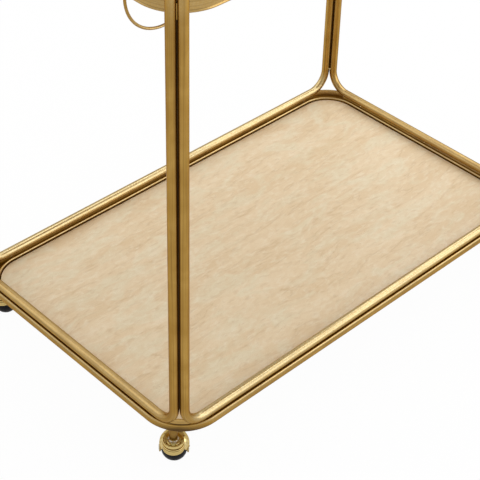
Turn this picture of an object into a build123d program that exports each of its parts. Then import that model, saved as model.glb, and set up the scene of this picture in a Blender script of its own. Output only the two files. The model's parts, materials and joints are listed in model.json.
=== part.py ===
from build123d import *
import math
import os

os.makedirs("parts", exist_ok=True)

# Frame: four closed loops of round tube, sizes in millimetres.
# The origin is on the floor under the middle of the cart, +X to the right end,
# -Y to the front, +Z up.
TUBE_DIA = 13.5
TUBE_WALL = 1.2
FRAME_LENGTH = 774.0  # between the middles of the end loops
FRAME_WIDTH = 458.0  # between the middles of the front and back loops
RAIL_HEIGHT = 99.5  # floor to the middle of the bottom tubes
LOOP_HEIGHT = 700.0  # bottom tube middle to top tube middle
BEND_RADIUS = 35.0
LEG_INSET = 9.7  # each upright in from the corner of the loop planes

# Tray edges, bent to a rounded rectangle: square tube below, a deep flat band above.
TRAY_CORNER_RADIUS = 60.0
RIM_SIZE = 12.7
RIM_WALL = 1.2
RIM_ROUND = 2.0
RIM_DROP = 10.0  # middle of the bottom tubes down to the top of the rim
APRON_THICKNESS = 2.2
APRON_HEIGHT = 30.0
APRON_RISE = 631.0  # middle of the bottom tubes up to the foot of the apron
BEAD_HEIGHT = 3.0
BEAD_DEPTH = 0.8

# Panels and the ledges they lie on.
PANEL_THICKNESS = 6.0
RIM_PANEL_SINK = 4.0  # panel face below the top of the rim
APRON_PANEL_SINK = 2.5  # panel face below the top of the apron
RIM_PANEL_GAP = 1.6
APRON_PANEL_GAP = 1.2
PANEL_ARRIS = 0.6
LEDGE_WIDTH = 14.0
LEDGE_THICKNESS = 1.5
RIM_LEDGE_GAP = 0.2  # filled by weld

# Bands and tabs that join the trays to the loops.
BAND_HEIGHT = 8.5  # down from the middle of the bottom tubes
BAND_THICKNESS = 2.2
BAND_OFFSET = 5.0  # loop plane out to the outer face of the band
BAND_REACH = 30.0  # loop plane to the end of each band
TAB_WIDTH = 3.2
TAB_THICKNESS = 2.2
WELD_SINK = 0.8  # how far a tab rises round the tube it is welded to
LONG_TAB_INSET = 62.0  # end loop plane to the first tab of a long side
SHORT_TAB_INSET = 79.0  # side loop plane to the first tab of an end
LEG_WELD_HEIGHT = 4.0
LEG_WELD_WIDTH = 4.0
LEG_WELD_NEAR = 1.5  # from the line between the uprights in to the weld
LEG_WELD_FAR = 5.0
LEG_WELD_RISE = 39.0  # middle of the bottom tubes up to the middle of the weld
FIN_HEIGHT = 18.0
FIN_THICKNESS = 4.6
FIN_RISE = 4.0  # foot of the apron up to the foot of the fin

# Bottle rack under the upper tray.
HOOP_RADIUS = 59.9
HOOP_WIRE = 4.0
HOOP_COUNT = 5
HOOP_PITCH = 138.4
HOOP_ROW_OFFSET = 80.0
HOOP_RISE = 580.5  # bottom tube middle up to the middle of a hoop
RACK_ROD = 6.0

# Casters.
CASTER_INSETS = {  # swivel axis in from the end loop and from the side loop
    "front": (14.5, 28.5),
    "back": (24.0, 18.5),
}
REST_HEADINGS = {  # which way each caster trails at rest, from +X
    "front_left": 45.0,
    "front_right": 142.0,
    "back_left": 38.0,
    "back_right": 218.0,
}
TRAIL = 14.0
WHEEL_RADIUS = 18.5
WHEEL_HALF_WIDTH = 17.2
BUSHING_RADIUS = 5.0
BUSHING_HALF_LENGTH = 18.2
AXLE_RADIUS = 2.5
AXLE_HEAD_RADIUS = 4.0
AXLE_HEAD_HEIGHT = 1.4
COLLAR_RISE = 20.0  # axle middle up to the foot of the collar
KINGPIN_RADIUS = 4.0
KINGPIN_TOP_GAP = 5.0  # rim down to the top of the kingpin, inside the post
KINGPIN_HEAD_RADIUS = 5.5
KINGPIN_HEAD_HEIGHT = 2.0
NUT_FLATS = 13.0
NUT_HEIGHT = 6.0
CUP_RADIUS = 15.0
CUP_FLOOR = 2.0
CUP_LIP_HEIGHT = 5.3
CUP_LIP_WIDTH = 1.6
CUP_FLOOR_RADIUS = 9.0
COLLAR_RADIUS = 15.5
COLLAR_THICKNESS = 5.7
COLLAR_NECK_RADIUS = 13.6
NECK_HEIGHT = 1.3
RING_GROOVE_DEPTH = 0.9
RING_GROOVE_HEIGHT = 1.2
RING_GROOVE_RISE = 1.2
SKIRT_DEPTH = 7.0
SKIRT_WALL = 2.0
HOOD_RADIUS = 21.4
HOOD_WALL = 1.6
HOOD_BACK = 4.0  # hood centre behind the axle
HOOD_RISE = 5.0  # hood centre above the axle
HOOD_SKIRT_DROP = 2.0
HOOD_FRONT = 6.0
HOOD_RAKE = 26.0
EAR_RADIUS = 6.5
EAR_INNER = 18.6
EAR_OUTER = 20.9
RUNNING_CLEARANCE = 0.05
BODY_GAP = 0.3
WHEEL_CLEARANCE = 0.8

RIM_TOP = RAIL_HEIGHT - RIM_DROP
RIM_BASE = RIM_TOP - RIM_SIZE
APRON_BASE = RAIL_HEIGHT + APRON_RISE
LOWER_PANEL_TOP = RIM_TOP - RIM_PANEL_SINK
UPPER_PANEL_TOP = APRON_BASE + APRON_HEIGHT - APRON_PANEL_SINK
HALF_LENGTH = FRAME_LENGTH / 2
HALF_WIDTH = FRAME_WIDTH / 2
TUBE_RADIUS = TUBE_DIA / 2
COLLAR_BASE = WHEEL_RADIUS + COLLAR_RISE
CUP_BASE = COLLAR_BASE + COLLAR_THICKNESS
CUP_TOP = CUP_BASE + CUP_FLOOR
NUT_BASE = CUP_TOP + BODY_GAP
POST_BASE = NUT_BASE + NUT_HEIGHT
CORNERS = {
    "front_left": (-1, -1),
    "front_right": (1, -1),
    "back_left": (-1, 1),
    "back_right": (1, 1),
}


def rounded_frame(growth, inner_growth, base, height):
    """Upright band between two rounded rectangles offset from the loop planes."""

    def outline(offset):
        return RectangleRounded(
            FRAME_LENGTH + 2 * offset,
            FRAME_WIDTH + 2 * offset,
            TRAY_CORNER_RADIUS + offset,
        )

    section = outline(growth) - outline(inner_growth)
    return extrude(Pos(0, 0, base) * section, height)


def tube_loop(span, radius):
    """Closed rounded-rectangle rod in the XZ plane, standing on the origin."""
    centre = Plane.XZ * Pos(0, LOOP_HEIGHT / 2) * RectangleRounded(
        span, LOOP_HEIGHT, BEND_RADIUS
    )
    path = centre.wire()
    start = Plane(origin=path @ 0, z_dir=path % 0)
    return sweep(start * Circle(radius), path=path)


def tube_frame(span):
    """One loop of tube, hollow all round."""
    return tube_loop(span, TUBE_RADIUS) - tube_loop(span, TUBE_RADIUS - TUBE_WALL)


def place_loop(loop, end):
    """The four positions of a loop: front, back, left and right."""
    turn = 90 if end in ("left", "right") else 0
    x = {"left": -HALF_LENGTH, "right": HALF_LENGTH}.get(end, 0)
    y = {"front": -HALF_WIDTH, "back": HALF_WIDTH}.get(end, 0)
    return Pos(x, y, RAIL_HEIGHT) * Rot(0, 0, turn) * loop


def all_loops(maker):
    """The front, back, left and right loops made by one maker."""
    long_loop = maker(FRAME_LENGTH - 2 * LEG_INSET)
    short_loop = maker(FRAME_WIDTH - 2 * LEG_INSET)
    spans = {"front": long_loop, "back": long_loop, "left": short_loop, "right": short_loop}
    return {end: place_loop(loop, end) for end, loop in spans.items()}


def rim_rod(size, fillet_radius):
    """Square rod bent round the lower tray, under the loops."""
    middle = Pos(0, 0, RIM_TOP - RIM_SIZE / 2)
    outline = middle * RectangleRounded(FRAME_LENGTH, FRAME_WIDTH, TRAY_CORNER_RADIUS)
    path = outline.wire()
    section = RectangleRounded(size, size, fillet_radius)
    return sweep(Plane(origin=path @ 0, z_dir=path % 0) * section, path=path)


def lower_rim():
    """Square tube round the lower tray, hollow all round."""
    return rim_rod(RIM_SIZE, RIM_ROUND) - rim_rod(RIM_SIZE - 2 * RIM_WALL, RIM_ROUND - RIM_WALL)


def upper_apron():
    """Deep band round the upper tray, with a bead along its foot."""
    half = APRON_THICKNESS / 2
    band = rounded_frame(half, -half, APRON_BASE, APRON_HEIGHT)
    bead = rounded_frame(half + BEAD_DEPTH, half, APRON_BASE, BEAD_HEIGHT)
    return band + bead


def panel(inset, top):
    """Flat panel with softened arrises, its edge in from the loop planes by the inset."""
    outline = RectangleRounded(
        FRAME_LENGTH - 2 * inset, FRAME_WIDTH - 2 * inset, TRAY_CORNER_RADIUS - inset
    )
    slab = extrude(Pos(0, 0, top - PANEL_THICKNESS) * outline, PANEL_THICKNESS)
    return chamfer(slab.faces().sort_by(Axis.Z)[-1].edges(), PANEL_ARRIS)


def ledge(inset, panel_top):
    """Flat frame inside a tray edge, under the panel."""
    base = panel_top - PANEL_THICKNESS - LEDGE_THICKNESS
    return rounded_frame(-inset, -inset - LEDGE_WIDTH, base, LEDGE_THICKNESS)


def corner_band(sx, sy, rods):
    """Curved band over one corner of the rim, reaching up between the tube bends."""
    base = RAIL_HEIGHT - BAND_HEIGHT
    ring = rounded_frame(BAND_OFFSET, BAND_OFFSET - BAND_THICKNESS, base, BAND_HEIGHT)
    middle = BAND_REACH / 2
    window = Pos(sx * (HALF_LENGTH - middle), sy * (HALF_WIDTH - middle), base) * Box(
        BAND_REACH, BAND_REACH, LOOP_HEIGHT
    )
    return (ring & window) - rods


def tray_tabs(rods):
    """Upright tabs between the rim and the bottom tubes."""
    height = RIM_DROP - TUBE_RADIUS + WELD_SINK
    foot = (Align.CENTER, Align.CENTER, Align.MIN)
    long_tab = Box(TAB_WIDTH, TAB_THICKNESS, height, align=foot)
    short_tab = Box(TAB_THICKNESS, TAB_WIDTH, height, align=foot)
    tabs = []
    for step in (-1, 0, 1):
        x = step * (HALF_LENGTH - LONG_TAB_INSET)
        y = step * (HALF_WIDTH - SHORT_TAB_INSET)
        for side in (-1, 1):
            tabs.append(Pos(x, side * HALF_WIDTH, RIM_TOP) * long_tab)
            tabs.append(Pos(side * HALF_LENGTH, y, RIM_TOP) * short_tab)
    return Compound([(tab - rods).solid() for tab in tabs])


def leg_middle(sx, sy):
    """Plan point midway between the two uprights of a corner."""
    return sx * (HALF_LENGTH - LEG_INSET / 2), sy * (HALF_WIDTH - LEG_INSET / 2)


def leg_welds(rods):
    """Welds in the inner notch between the paired uprights, just clear of the bends."""
    depth = LEG_WELD_FAR - LEG_WELD_NEAR
    blank = Pos(-LEG_WELD_FAR, 0, 0) * Box(
        depth, LEG_WELD_WIDTH, LEG_WELD_HEIGHT, align=(Align.MIN, Align.CENTER, Align.CENTER)
    )
    welds = []
    for sx, sy in CORNERS.values():
        x, y = leg_middle(sx, sy)
        turn = math.degrees(math.atan2(sy, sx))
        for rise in (LEG_WELD_RISE, LOOP_HEIGHT - LEG_WELD_RISE):
            placed = Pos(x, y, RAIL_HEIGHT + rise) * Rot(0, 0, turn) * blank
            welds.append((placed - rods).solid())
    return Compound(welds)


def apron_fins(rods):
    """Fins reaching in from each leg pair to the corner of the upper apron."""
    corner_to_arc = TRAY_CORNER_RADIUS * (math.sqrt(2) - 1) - APRON_THICKNESS / 2
    leg_depth = LEG_INSET / math.sqrt(2)
    length = corner_to_arc - leg_depth + APRON_THICKNESS / 2
    blank = Box(length, FIN_THICKNESS, FIN_HEIGHT, align=(Align.MAX, Align.CENTER, Align.MIN))
    apron = upper_apron()
    fins = []
    for sx, sy in CORNERS.values():
        x, y = leg_middle(sx, sy)
        turn = math.degrees(math.atan2(sy, sx))
        placed = Pos(x, y, APRON_BASE + FIN_RISE) * Rot(0, 0, turn) * blank
        trimmed = placed - rods - apron
        fins.append(max(trimmed.solids(), key=lambda piece: piece.volume))
    return Compound(fins)


def rack_rod():
    """Round rod from end to end under the upper tray, along X."""
    length = FRAME_LENGTH - APRON_THICKNESS
    return Rot(0, 90, 0) * Cylinder(RACK_ROD / 2, length)


def rod_height():
    """Height of the rack rods: each hoop sinks a little into its rod."""
    return RAIL_HEIGHT + HOOP_RISE + HOOP_RADIUS + HOOP_WIRE / 2 + RACK_ROD / 2 - WELD_SINK


def hoop(rod):
    """Wire ring standing in the XZ plane, seated on the rod above it."""
    ring = Rot(90, 0, 0) * Torus(HOOP_RADIUS, HOOP_WIRE / 2)
    seat = Pos(0, 0, rod_height() - RAIL_HEIGHT - HOOP_RISE) * rod
    return ring - seat


def caster_post():
    """Short tube from the rim corner down to the nut, about the swivel axis."""
    length = RIM_BASE - POST_BASE
    tube = Cylinder(TUBE_RADIUS, length) - Cylinder(KINGPIN_RADIUS, length)
    return Pos(0, 0, POST_BASE + length / 2) * tube


def caster_nut():
    """Hexagon nut under the post."""
    hexagon = RegularPolygon(NUT_FLATS / 2, 6, major_radius=False) - Circle(KINGPIN_RADIUS)
    nut = extrude(Pos(0, 0, NUT_BASE) * hexagon, NUT_HEIGHT)
    cone_radius = NUT_FLATS / 2
    crown = Pos(0, 0, NUT_BASE + NUT_HEIGHT / 2) * Cone(
        cone_radius + NUT_HEIGHT * 2, cone_radius, NUT_HEIGHT
    )
    return nut & crown


def kingpin():
    """Swivel pin from inside the post down to its head below the collar."""
    top = RIM_BASE - KINGPIN_TOP_GAP
    head_top = COLLAR_BASE - BODY_GAP
    foot = (Align.CENTER, Align.CENTER, Align.MIN)
    shank = Pos(0, 0, head_top) * Cylinder(KINGPIN_RADIUS, top - head_top, align=foot)
    head = Pos(0, 0, head_top - KINGPIN_HEAD_HEIGHT) * Cylinder(
        KINGPIN_HEAD_RADIUS, KINGPIN_HEAD_HEIGHT, align=foot
    )
    return shank + head


def race_cup():
    """Dished cup round the nut, turned about the swivel axis."""
    bore = KINGPIN_RADIUS + RUNNING_CLEARANCE
    lip = CUP_BASE + CUP_LIP_HEIGHT
    outline = Polyline(
        (bore, CUP_BASE),
        (COLLAR_NECK_RADIUS, CUP_BASE),
        (CUP_RADIUS, CUP_TOP),
        (CUP_RADIUS, lip),
        (CUP_RADIUS - CUP_LIP_WIDTH, lip),
        (CUP_FLOOR_RADIUS, CUP_TOP),
        (bore, CUP_TOP),
        close=True,
    )
    return revolve(Plane.XZ * make_face(outline), Axis.Z)


def collar_blank():
    """Ringed collar and skirt under the cup, before the wheel space is cleared."""
    foot = (Align.CENTER, Align.CENTER, Align.MIN)
    top = CUP_BASE
    base = COLLAR_BASE - SKIRT_DEPTH
    body = Pos(0, 0, base) * Cylinder(COLLAR_RADIUS, top - NECK_HEIGHT - base, align=foot)
    neck = Pos(0, 0, top - NECK_HEIGHT) * Cylinder(COLLAR_NECK_RADIUS, NECK_HEIGHT, align=foot)
    groove = Cylinder(COLLAR_RADIUS + 1, RING_GROOVE_HEIGHT, align=foot) - Cylinder(
        COLLAR_RADIUS - RING_GROOVE_DEPTH, RING_GROOVE_HEIGHT, align=foot
    )
    return body + neck - Pos(0, 0, COLLAR_BASE + RING_GROOVE_RISE) * groove


def hood_shell():
    """Part-sphere hood behind and above the ball wheel, with an ear for each axle end."""
    axle = Pos(TRAIL, 0, WHEEL_RADIUS)
    centre = axle * Pos(HOOD_BACK, 0, HOOD_RISE)
    shell = centre * (Sphere(HOOD_RADIUS) - Sphere(HOOD_RADIUS - HOOD_WALL))
    reach = 4 * HOOD_RADIUS
    above = axle * Pos(0, 0, -HOOD_SKIRT_DROP) * Box(
        reach, reach, reach, align=(Align.CENTER, Align.CENTER, Align.MIN)
    )
    behind = axle * Rot(0, -HOOD_RAKE, 0) * Pos(-HOOD_FRONT, 0, 0) * Box(
        reach, reach, reach, align=(Align.MIN, Align.CENTER, Align.CENTER)
    )
    return shell & above & behind


def hood_ears():
    """Round ears that hold the ends of the axle."""
    axle = Pos(TRAIL, 0, WHEEL_RADIUS)
    disc = Rot(90, 0, 0) * Cylinder(EAR_RADIUS, EAR_OUTER - EAR_INNER)
    middle = (EAR_OUTER + EAR_INNER) / 2
    return [axle * Pos(0, side * middle, 0) * disc for side in (-1, 1)]


def caster_hood():
    """Collar, skirt, hood and ears in one casting, about the swivel axis."""
    axle = Pos(TRAIL, 0, WHEEL_RADIUS)
    cavity = Pos(0, 0, COLLAR_BASE) * Cylinder(
        COLLAR_RADIUS - SKIRT_WALL, COLLAR_BASE, align=(Align.CENTER, Align.CENTER, Align.MAX)
    )
    above_cup = Pos(0, 0, CUP_BASE) * Cylinder(
        CUP_RADIUS + BODY_GAP, HOOD_RADIUS, align=(Align.CENTER, Align.CENTER, Align.MIN)
    )
    blank = collar_blank() + hood_shell() - cavity - above_cup
    blank -= axle * Sphere(WHEEL_RADIUS + WHEEL_CLEARANCE)
    for ear in hood_ears():
        blank += ear
    blank -= axle * Rot(90, 0, 0) * Cylinder(AXLE_RADIUS, 3 * EAR_OUTER)
    spotface = Cylinder(AXLE_HEAD_RADIUS + BODY_GAP, EAR_OUTER)
    for side in (-1, 1):
        blank -= axle * Rot(90, 0, 0) * Pos(0, 0, side * EAR_OUTER * 3 / 2) * spotface
    bore = Cylinder(KINGPIN_RADIUS + RUNNING_CLEARANCE, 4 * COLLAR_BASE)
    return max((blank - bore).solids(), key=lambda piece: piece.volume)


def caster_axle():
    """Axle with a round head outside each ear."""
    shaft = Cylinder(AXLE_RADIUS, 2 * EAR_OUTER)
    head = Cylinder(AXLE_HEAD_RADIUS, AXLE_HEAD_HEIGHT)
    lift = EAR_OUTER + AXLE_HEAD_HEIGHT / 2
    whole = shaft + Pos(0, 0, lift) * head + Pos(0, 0, -lift) * head
    return Pos(TRAIL, 0, WHEEL_RADIUS) * Rot(90, 0, 0) * whole


def caster_bushing():
    """Bushing pressed into the ball wheel, running on the axle."""
    bore = AXLE_RADIUS + RUNNING_CLEARANCE
    ring = Cylinder(BUSHING_RADIUS, 2 * BUSHING_HALF_LENGTH) - Cylinder(
        bore, 2 * BUSHING_HALF_LENGTH
    )
    return Pos(TRAIL, 0, WHEEL_RADIUS) * Rot(90, 0, 0) * ring


def caster_ball():
    """Ball wheel with a flat on each side."""
    block = Box(4 * WHEEL_RADIUS, 4 * WHEEL_RADIUS, 2 * WHEEL_HALF_WIDTH)
    ball = (Sphere(WHEEL_RADIUS) & block) - Cylinder(BUSHING_RADIUS, 2 * WHEEL_RADIUS)
    return Pos(TRAIL, 0, WHEEL_RADIUS) * Rot(90, 0, 0) * ball


def caster_place(corner):
    """Swivel axis of one corner's caster, turned to its rest heading."""
    sx, sy = CORNERS[corner]
    end_inset, side_inset = CASTER_INSETS[corner.split("_")[0]]
    x = sx * (HALF_LENGTH - end_inset)
    y = sy * (HALF_WIDTH - side_inset)
    return Pos(x, y, 0) * Rot(0, 0, REST_HEADINGS[corner])


def frame_nodes():
    """Every piece of the welded frame and its two trays."""
    solid_rods = Compound(list(all_loops(lambda span: tube_loop(span, TUBE_RADIUS)).values()))
    nodes = {f"{end}_loop": loop for end, loop in all_loops(tube_frame).items()}
    nodes["lower_edge_bar"] = lower_rim()
    nodes["upper_apron"] = upper_apron()
    nodes["lower_ledge"] = ledge(RIM_SIZE / 2 + RIM_LEDGE_GAP, LOWER_PANEL_TOP)
    nodes["upper_ledge"] = ledge(APRON_THICKNESS / 2, UPPER_PANEL_TOP)
    nodes["lower_panel"] = panel(RIM_SIZE / 2 + RIM_PANEL_GAP, LOWER_PANEL_TOP)
    nodes["upper_panel"] = panel(APRON_THICKNESS / 2 + APRON_PANEL_GAP, UPPER_PANEL_TOP)
    for corner, (sx, sy) in CORNERS.items():
        nodes[f"corner_band_{corner}"] = corner_band(sx, sy, solid_rods)
    nodes["tray_weld_tabs"] = tray_tabs(solid_rods)
    nodes["leg_weld_tabs"] = leg_welds(solid_rods)
    nodes["apron_fins"] = apron_fins(solid_rods)
    return nodes


def rack_nodes():
    """The bottle rack: two rods, and a row of hoops under each."""
    rod = rack_rod()
    ring = hoop(rod)
    nodes = {}
    for row, side in (("front", -1), ("back", 1)):
        y = side * HOOP_ROW_OFFSET
        nodes[f"rack_rod_{row}"] = Pos(0, y, rod_height()) * rod
        for number in range(HOOP_COUNT):
            x = (number - (HOOP_COUNT - 1) / 2) * HOOP_PITCH
            nodes[f"hoop_{row}_{number + 1}"] = Pos(x, y, RAIL_HEIGHT + HOOP_RISE) * ring
    return nodes


def caster_nodes():
    """The four casters, part by part."""
    makers = {
        "post": caster_post(),
        "kingpin": kingpin(),
        "cup": race_cup(),
        "hood": caster_hood(),
        "axle": caster_axle(),
        "bushing": caster_bushing(),
        "ball": caster_ball(),
    }
    nut = caster_nut()
    nodes = {}
    nuts = []
    for corner in CORNERS:
        place = caster_place(corner)
        for name, piece in makers.items():
            nodes[f"caster_{name}_{corner}"] = place * piece
        nuts.append((place * nut).solid())
    nodes["caster_nuts"] = Compound(nuts)
    return nodes


def main():
    """Write one STEP file for each node."""
    nodes = {**frame_nodes(), **rack_nodes(), **caster_nodes()}
    for name, shape in nodes.items():
        export_step(shape, f"parts/{name}.step")


main()
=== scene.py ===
"""A two-tier bar cart of brass tube with stone trays, on four hooded ball casters.

Lengths are in metres. The origin is on the floor under the middle of the cart,
+X runs to the right end, -Y to the front and +Z up.

Each mesh carries a value of rub and painted light, which its finish reads. It
runs from -1, where shade is painted into nooks, creases, corners and lower
faces, to 1, where highlights are painted on edges and upper faces and where
hands wear the loops pale. On the ball it marks the dust where it has rolled.
"""

import json
import logging
import math
from dataclasses import dataclass, field
from enum import Enum
from typing import Any, Optional, Sequence

import bmesh
import bpy
import numpy as np
from mathutils import Matrix, Vector


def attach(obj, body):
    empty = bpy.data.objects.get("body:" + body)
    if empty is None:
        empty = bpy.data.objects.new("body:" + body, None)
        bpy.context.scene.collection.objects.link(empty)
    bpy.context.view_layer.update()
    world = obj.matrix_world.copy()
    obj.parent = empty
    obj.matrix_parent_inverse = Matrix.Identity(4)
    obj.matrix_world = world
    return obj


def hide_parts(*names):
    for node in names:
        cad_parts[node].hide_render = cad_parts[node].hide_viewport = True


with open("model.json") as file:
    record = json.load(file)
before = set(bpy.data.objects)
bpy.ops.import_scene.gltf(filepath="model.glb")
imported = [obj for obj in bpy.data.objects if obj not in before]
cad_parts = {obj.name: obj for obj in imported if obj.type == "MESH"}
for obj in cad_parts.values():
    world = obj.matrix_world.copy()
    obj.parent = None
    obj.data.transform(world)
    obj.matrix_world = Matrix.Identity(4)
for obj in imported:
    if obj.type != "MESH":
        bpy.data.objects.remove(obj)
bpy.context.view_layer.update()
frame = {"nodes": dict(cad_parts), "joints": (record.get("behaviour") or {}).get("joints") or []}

LOG = logging.getLogger("bar_cart")
MM = 0.001
CREASE = math.radians(38)
MERGE_REACH = 1e-7
QUARTER_TURN = math.pi / 2
CLOUD_SPAN = (0.3, 0.7)  # the range that most of a cloud's values keep to
UP = np.array([0.0, 0.0, 1.0])
Grid = np.ndarray
Shade = tuple[int, int, int]
Triple = tuple[float, float, float]


class Plane(Enum):
    """The upright or level plane that a closed run of bar or tube lies in."""

    FRONT = "front"
    END = "end"
    LEVEL = "level"


class Corner(Enum):
    """The four corners of the cart, with their signs along X and Y."""

    FRONT_LEFT = (-1, -1)
    FRONT_RIGHT = (1, -1)
    BACK_LEFT = (-1, 1)
    BACK_RIGHT = (1, 1)

    @property
    def label(self) -> str:
        """The corner's name as the bodies and nodes spell it."""
        return self.name.lower()

    @property
    def heading(self) -> float:
        """The plan angle of the corner's diagonal, pointing out of the cart."""
        sx, sy = self.value
        return math.atan2(sy, sx)


# --------------------------------------------------------------------------
# Shapes
# --------------------------------------------------------------------------


def round_angles(steps: int) -> Grid:
    """Equal steps round a full turn, without its end."""
    return np.arange(steps) * 2 * math.pi / steps


def rounded_run(
    length: float, width: float, radius: float, arc: int, straight: int = 14
) -> tuple[Grid, Grid]:
    """A rounded rectangle: four quarter circles joined by straight runs.

    Args:
        length: Overall size along the first axis.
        width: Overall size along the second axis.
        radius: Corner radius.
        arc: Steps in each corner.
        straight: Steps in each straight run.

    Returns:
        Points (n, 2) and the outward unit directions (n, 2) at them.
    """
    sweep = np.linspace(0.0, QUARTER_TURN, arc + 1)
    points, outward = [], []
    for quarter, (sx, sy) in enumerate(((1, 1), (-1, 1), (-1, -1), (1, -1))):
        angle = sweep + quarter * QUARTER_TURN
        ray = np.stack([np.cos(angle), np.sin(angle)], axis=1)
        middle = np.array([sx * (length / 2 - radius), sy * (width / 2 - radius)])
        points.append(middle + radius * ray)
        outward.append(ray)
    loop_points, loop_out = [], []
    for k in range(4):
        after = points[(k + 1) % 4][0]
        share = np.linspace(0.0, 1.0, straight + 1)[1:-1, None]
        loop_points += [points[k], points[k][-1] + share * (after - points[k][-1])]
        loop_out += [outward[k], np.repeat(outward[k][-1:], len(share), axis=0)]
    return np.concatenate(loop_points), np.concatenate(loop_out)


def bend_share(outward: Grid) -> Grid:
    """How far each direction (n, 2) lies off the axes: 0 along one, 1 halfway between two."""
    return np.minimum(np.abs(outward[:, 0]), np.abs(outward[:, 1])) * math.sqrt(2)


def stand(flat: Grid, plane: Plane) -> Grid:
    """Stands a flat run up in a plane.

    Args:
        flat: Points or directions (n, 2).
        plane: The plane that they go into.

    Returns:
        Points or directions (n, 3), with zero across the plane.
    """
    first, second = flat[:, 0], flat[:, 1]
    zero = np.zeros_like(first)
    columns = {
        Plane.FRONT: (first, zero, second),
        Plane.END: (zero, first, second),
        Plane.LEVEL: (first, second, zero),
    }
    return np.stack(columns[plane], axis=1)


def carried(path: Grid, outward: Grid, across: Grid, profile: Grid) -> Grid:
    """A profile carried along a path.

    Each point is the path's point, plus the profile's first number along the
    outward direction, plus its second number along the direction across.

    Args:
        path: Points (n, 3).
        outward: Unit directions (n, 3).
        across: One unit direction (3,) or n of them.
        profile: Points (m, 2).

    Returns:
        The grid (n, m, 3).
    """
    side = np.broadcast_to(across, path.shape)
    return (
        path[:, None, :]
        + outward[:, None, :] * profile[None, :, 0, None]
        + side[:, None, :] * profile[None, :, 1, None]
    )


def circle_profile(radius: float, steps: int) -> Grid:
    """A circle: radius times cosine and sine of equal steps round it."""
    angle = round_angles(steps)
    return radius * np.stack([np.cos(angle), np.sin(angle)], axis=1)


def bar_profile(
    thick: float, high: float, arris: float, foot: float = 0.0, steps: int = 4, straight: int = 2
) -> Grid:
    """The section of a flat bar on edge, with rounded arrises.

    Args:
        thick: Size along the outward direction, centred.
        high: Size upwards from foot.
        arris: Radius of the four edges.
        foot: Height of the lower side.
        steps: Steps in each rounded edge.
        straight: Steps in each flat side.

    Returns:
        Points (m, 2), anticlockwise.
    """
    run, _ = rounded_run(thick, high, arris, arc=steps, straight=straight)
    return run + np.array([0.0, foot + high / 2])


def beaded_profile(thick: float, high: float, arris: float, bead_high: float, bead_deep: float) -> Grid:
    """The section of a flat bar whose outer face swells into a bead at its foot.

    The bead is half an ellipse: its depth times the sine of an even sweep over
    half a turn, while the height rises evenly.

    Args:
        thick: Size along the outward direction, centred.
        high: Size upwards from the foot.
        arris: Radius of the edges.
        bead_high: Height of the bead.
        bead_deep: How far the bead stands proud.

    Returns:
        Points (m, 2), anticlockwise.
    """
    section = bar_profile(thick, high, arris, straight=14)
    rise = np.linspace(0.0, 1.0, 13)
    swell = np.stack([thick / 2 + bead_deep * np.sin(math.pi * rise), bead_high * rise], axis=1)
    outer = section[:, 0] > thick / 2 - arris / 2
    low = section[:, 1] < bead_high * 1.02
    kept = section[~(outer & low)]
    start = int(np.argmin(np.where(kept[:, 0] > 0, np.abs(kept[:, 1] - bead_high), np.inf)))
    return np.concatenate([kept[:start], swell, kept[start:]])


def turned(profile: Grid, steps: int) -> Grid:
    """A profile turned about the Z axis.

    Each point is radius times cosine and sine of the turn, at its height.

    Args:
        profile: Points (m, 2) of radius and height.
        steps: Steps round the turn.

    Returns:
        The grid (steps, m, 3).
    """
    angle = round_angles(steps)
    radius, height = profile[:, 0], profile[:, 1]
    return np.stack(
        [
            radius[None, :] * np.cos(angle)[:, None],
            radius[None, :] * np.sin(angle)[:, None],
            np.broadcast_to(height, (steps, len(height))),
        ],
        axis=2,
    )


def eased(points: Sequence[tuple[float, float]], radius: float, steps: int = 4) -> Grid:
    """A closed polyline with each corner replaced by a quadratic curve.

    The curve starts and ends the radius away from the corner, or at 0.45 of the
    shorter neighbouring run, and follows (1-t)^2 a + 2t(1-t) b + t^2 c.

    Args:
        points: The corners.
        radius: How far from each corner the curve starts.
        steps: Steps in each curve.

    Returns:
        Points (m, 2).
    """
    corner = np.asarray(points, float)
    before, after = np.roll(corner, 1, axis=0), np.roll(corner, -1, axis=0)
    run_in, run_out = before - corner, after - corner
    length_in = np.linalg.norm(run_in, axis=1)
    length_out = np.linalg.norm(run_out, axis=1)
    reach = np.minimum(radius, 0.45 * np.minimum(length_in, length_out))
    start = corner + run_in / length_in[:, None] * reach[:, None]
    end = corner + run_out / length_out[:, None] * reach[:, None]
    t = np.linspace(0.0, 1.0, steps + 1)[None, :, None]
    curve = (1 - t) ** 2 * start[:, None] + 2 * t * (1 - t) * corner[:, None] + t**2 * end[:, None]
    return curve.reshape(-1, 2)


def placed(grid: Grid, at: Sequence[float], heading: float = 0.0, tilt: float = 0.0) -> Grid:
    """A grid tilted about X, then turned about Z, then moved to a point.

    Args:
        grid: Points (..., 3).
        at: Where its own origin goes.
        heading: The turn about Z.
        tilt: The turn about X that comes first.

    Returns:
        The grid in its place.
    """
    ct, st = math.cos(tilt), math.sin(tilt)
    ch, sh = math.cos(heading), math.sin(heading)
    lean = np.array([[1, 0, 0], [0, ct, -st], [0, st, ct]])
    spin = np.array([[ch, -sh, 0], [sh, ch, 0], [0, 0, 1]])
    return grid @ (spin @ lean).T + np.asarray(at, float)


def along(grid: Grid, axis: int, wrap: bool) -> Grid:
    """Running length down one side of a grid, for its UV map.

    Args:
        grid: Points (rows, columns, 3).
        axis: 0 to run down the rows, 1 to run along the columns.
        wrap: Whether the last point joins the first.

    Returns:
        The length from the first point to each point, in metres.
    """
    line = grid[:, 0] if axis == 0 else grid[0]
    if wrap:
        line = np.concatenate([line, line[:1]])
    return np.concatenate([[0.0], np.cumsum(np.linalg.norm(np.diff(line, axis=0), axis=1))])


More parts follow.
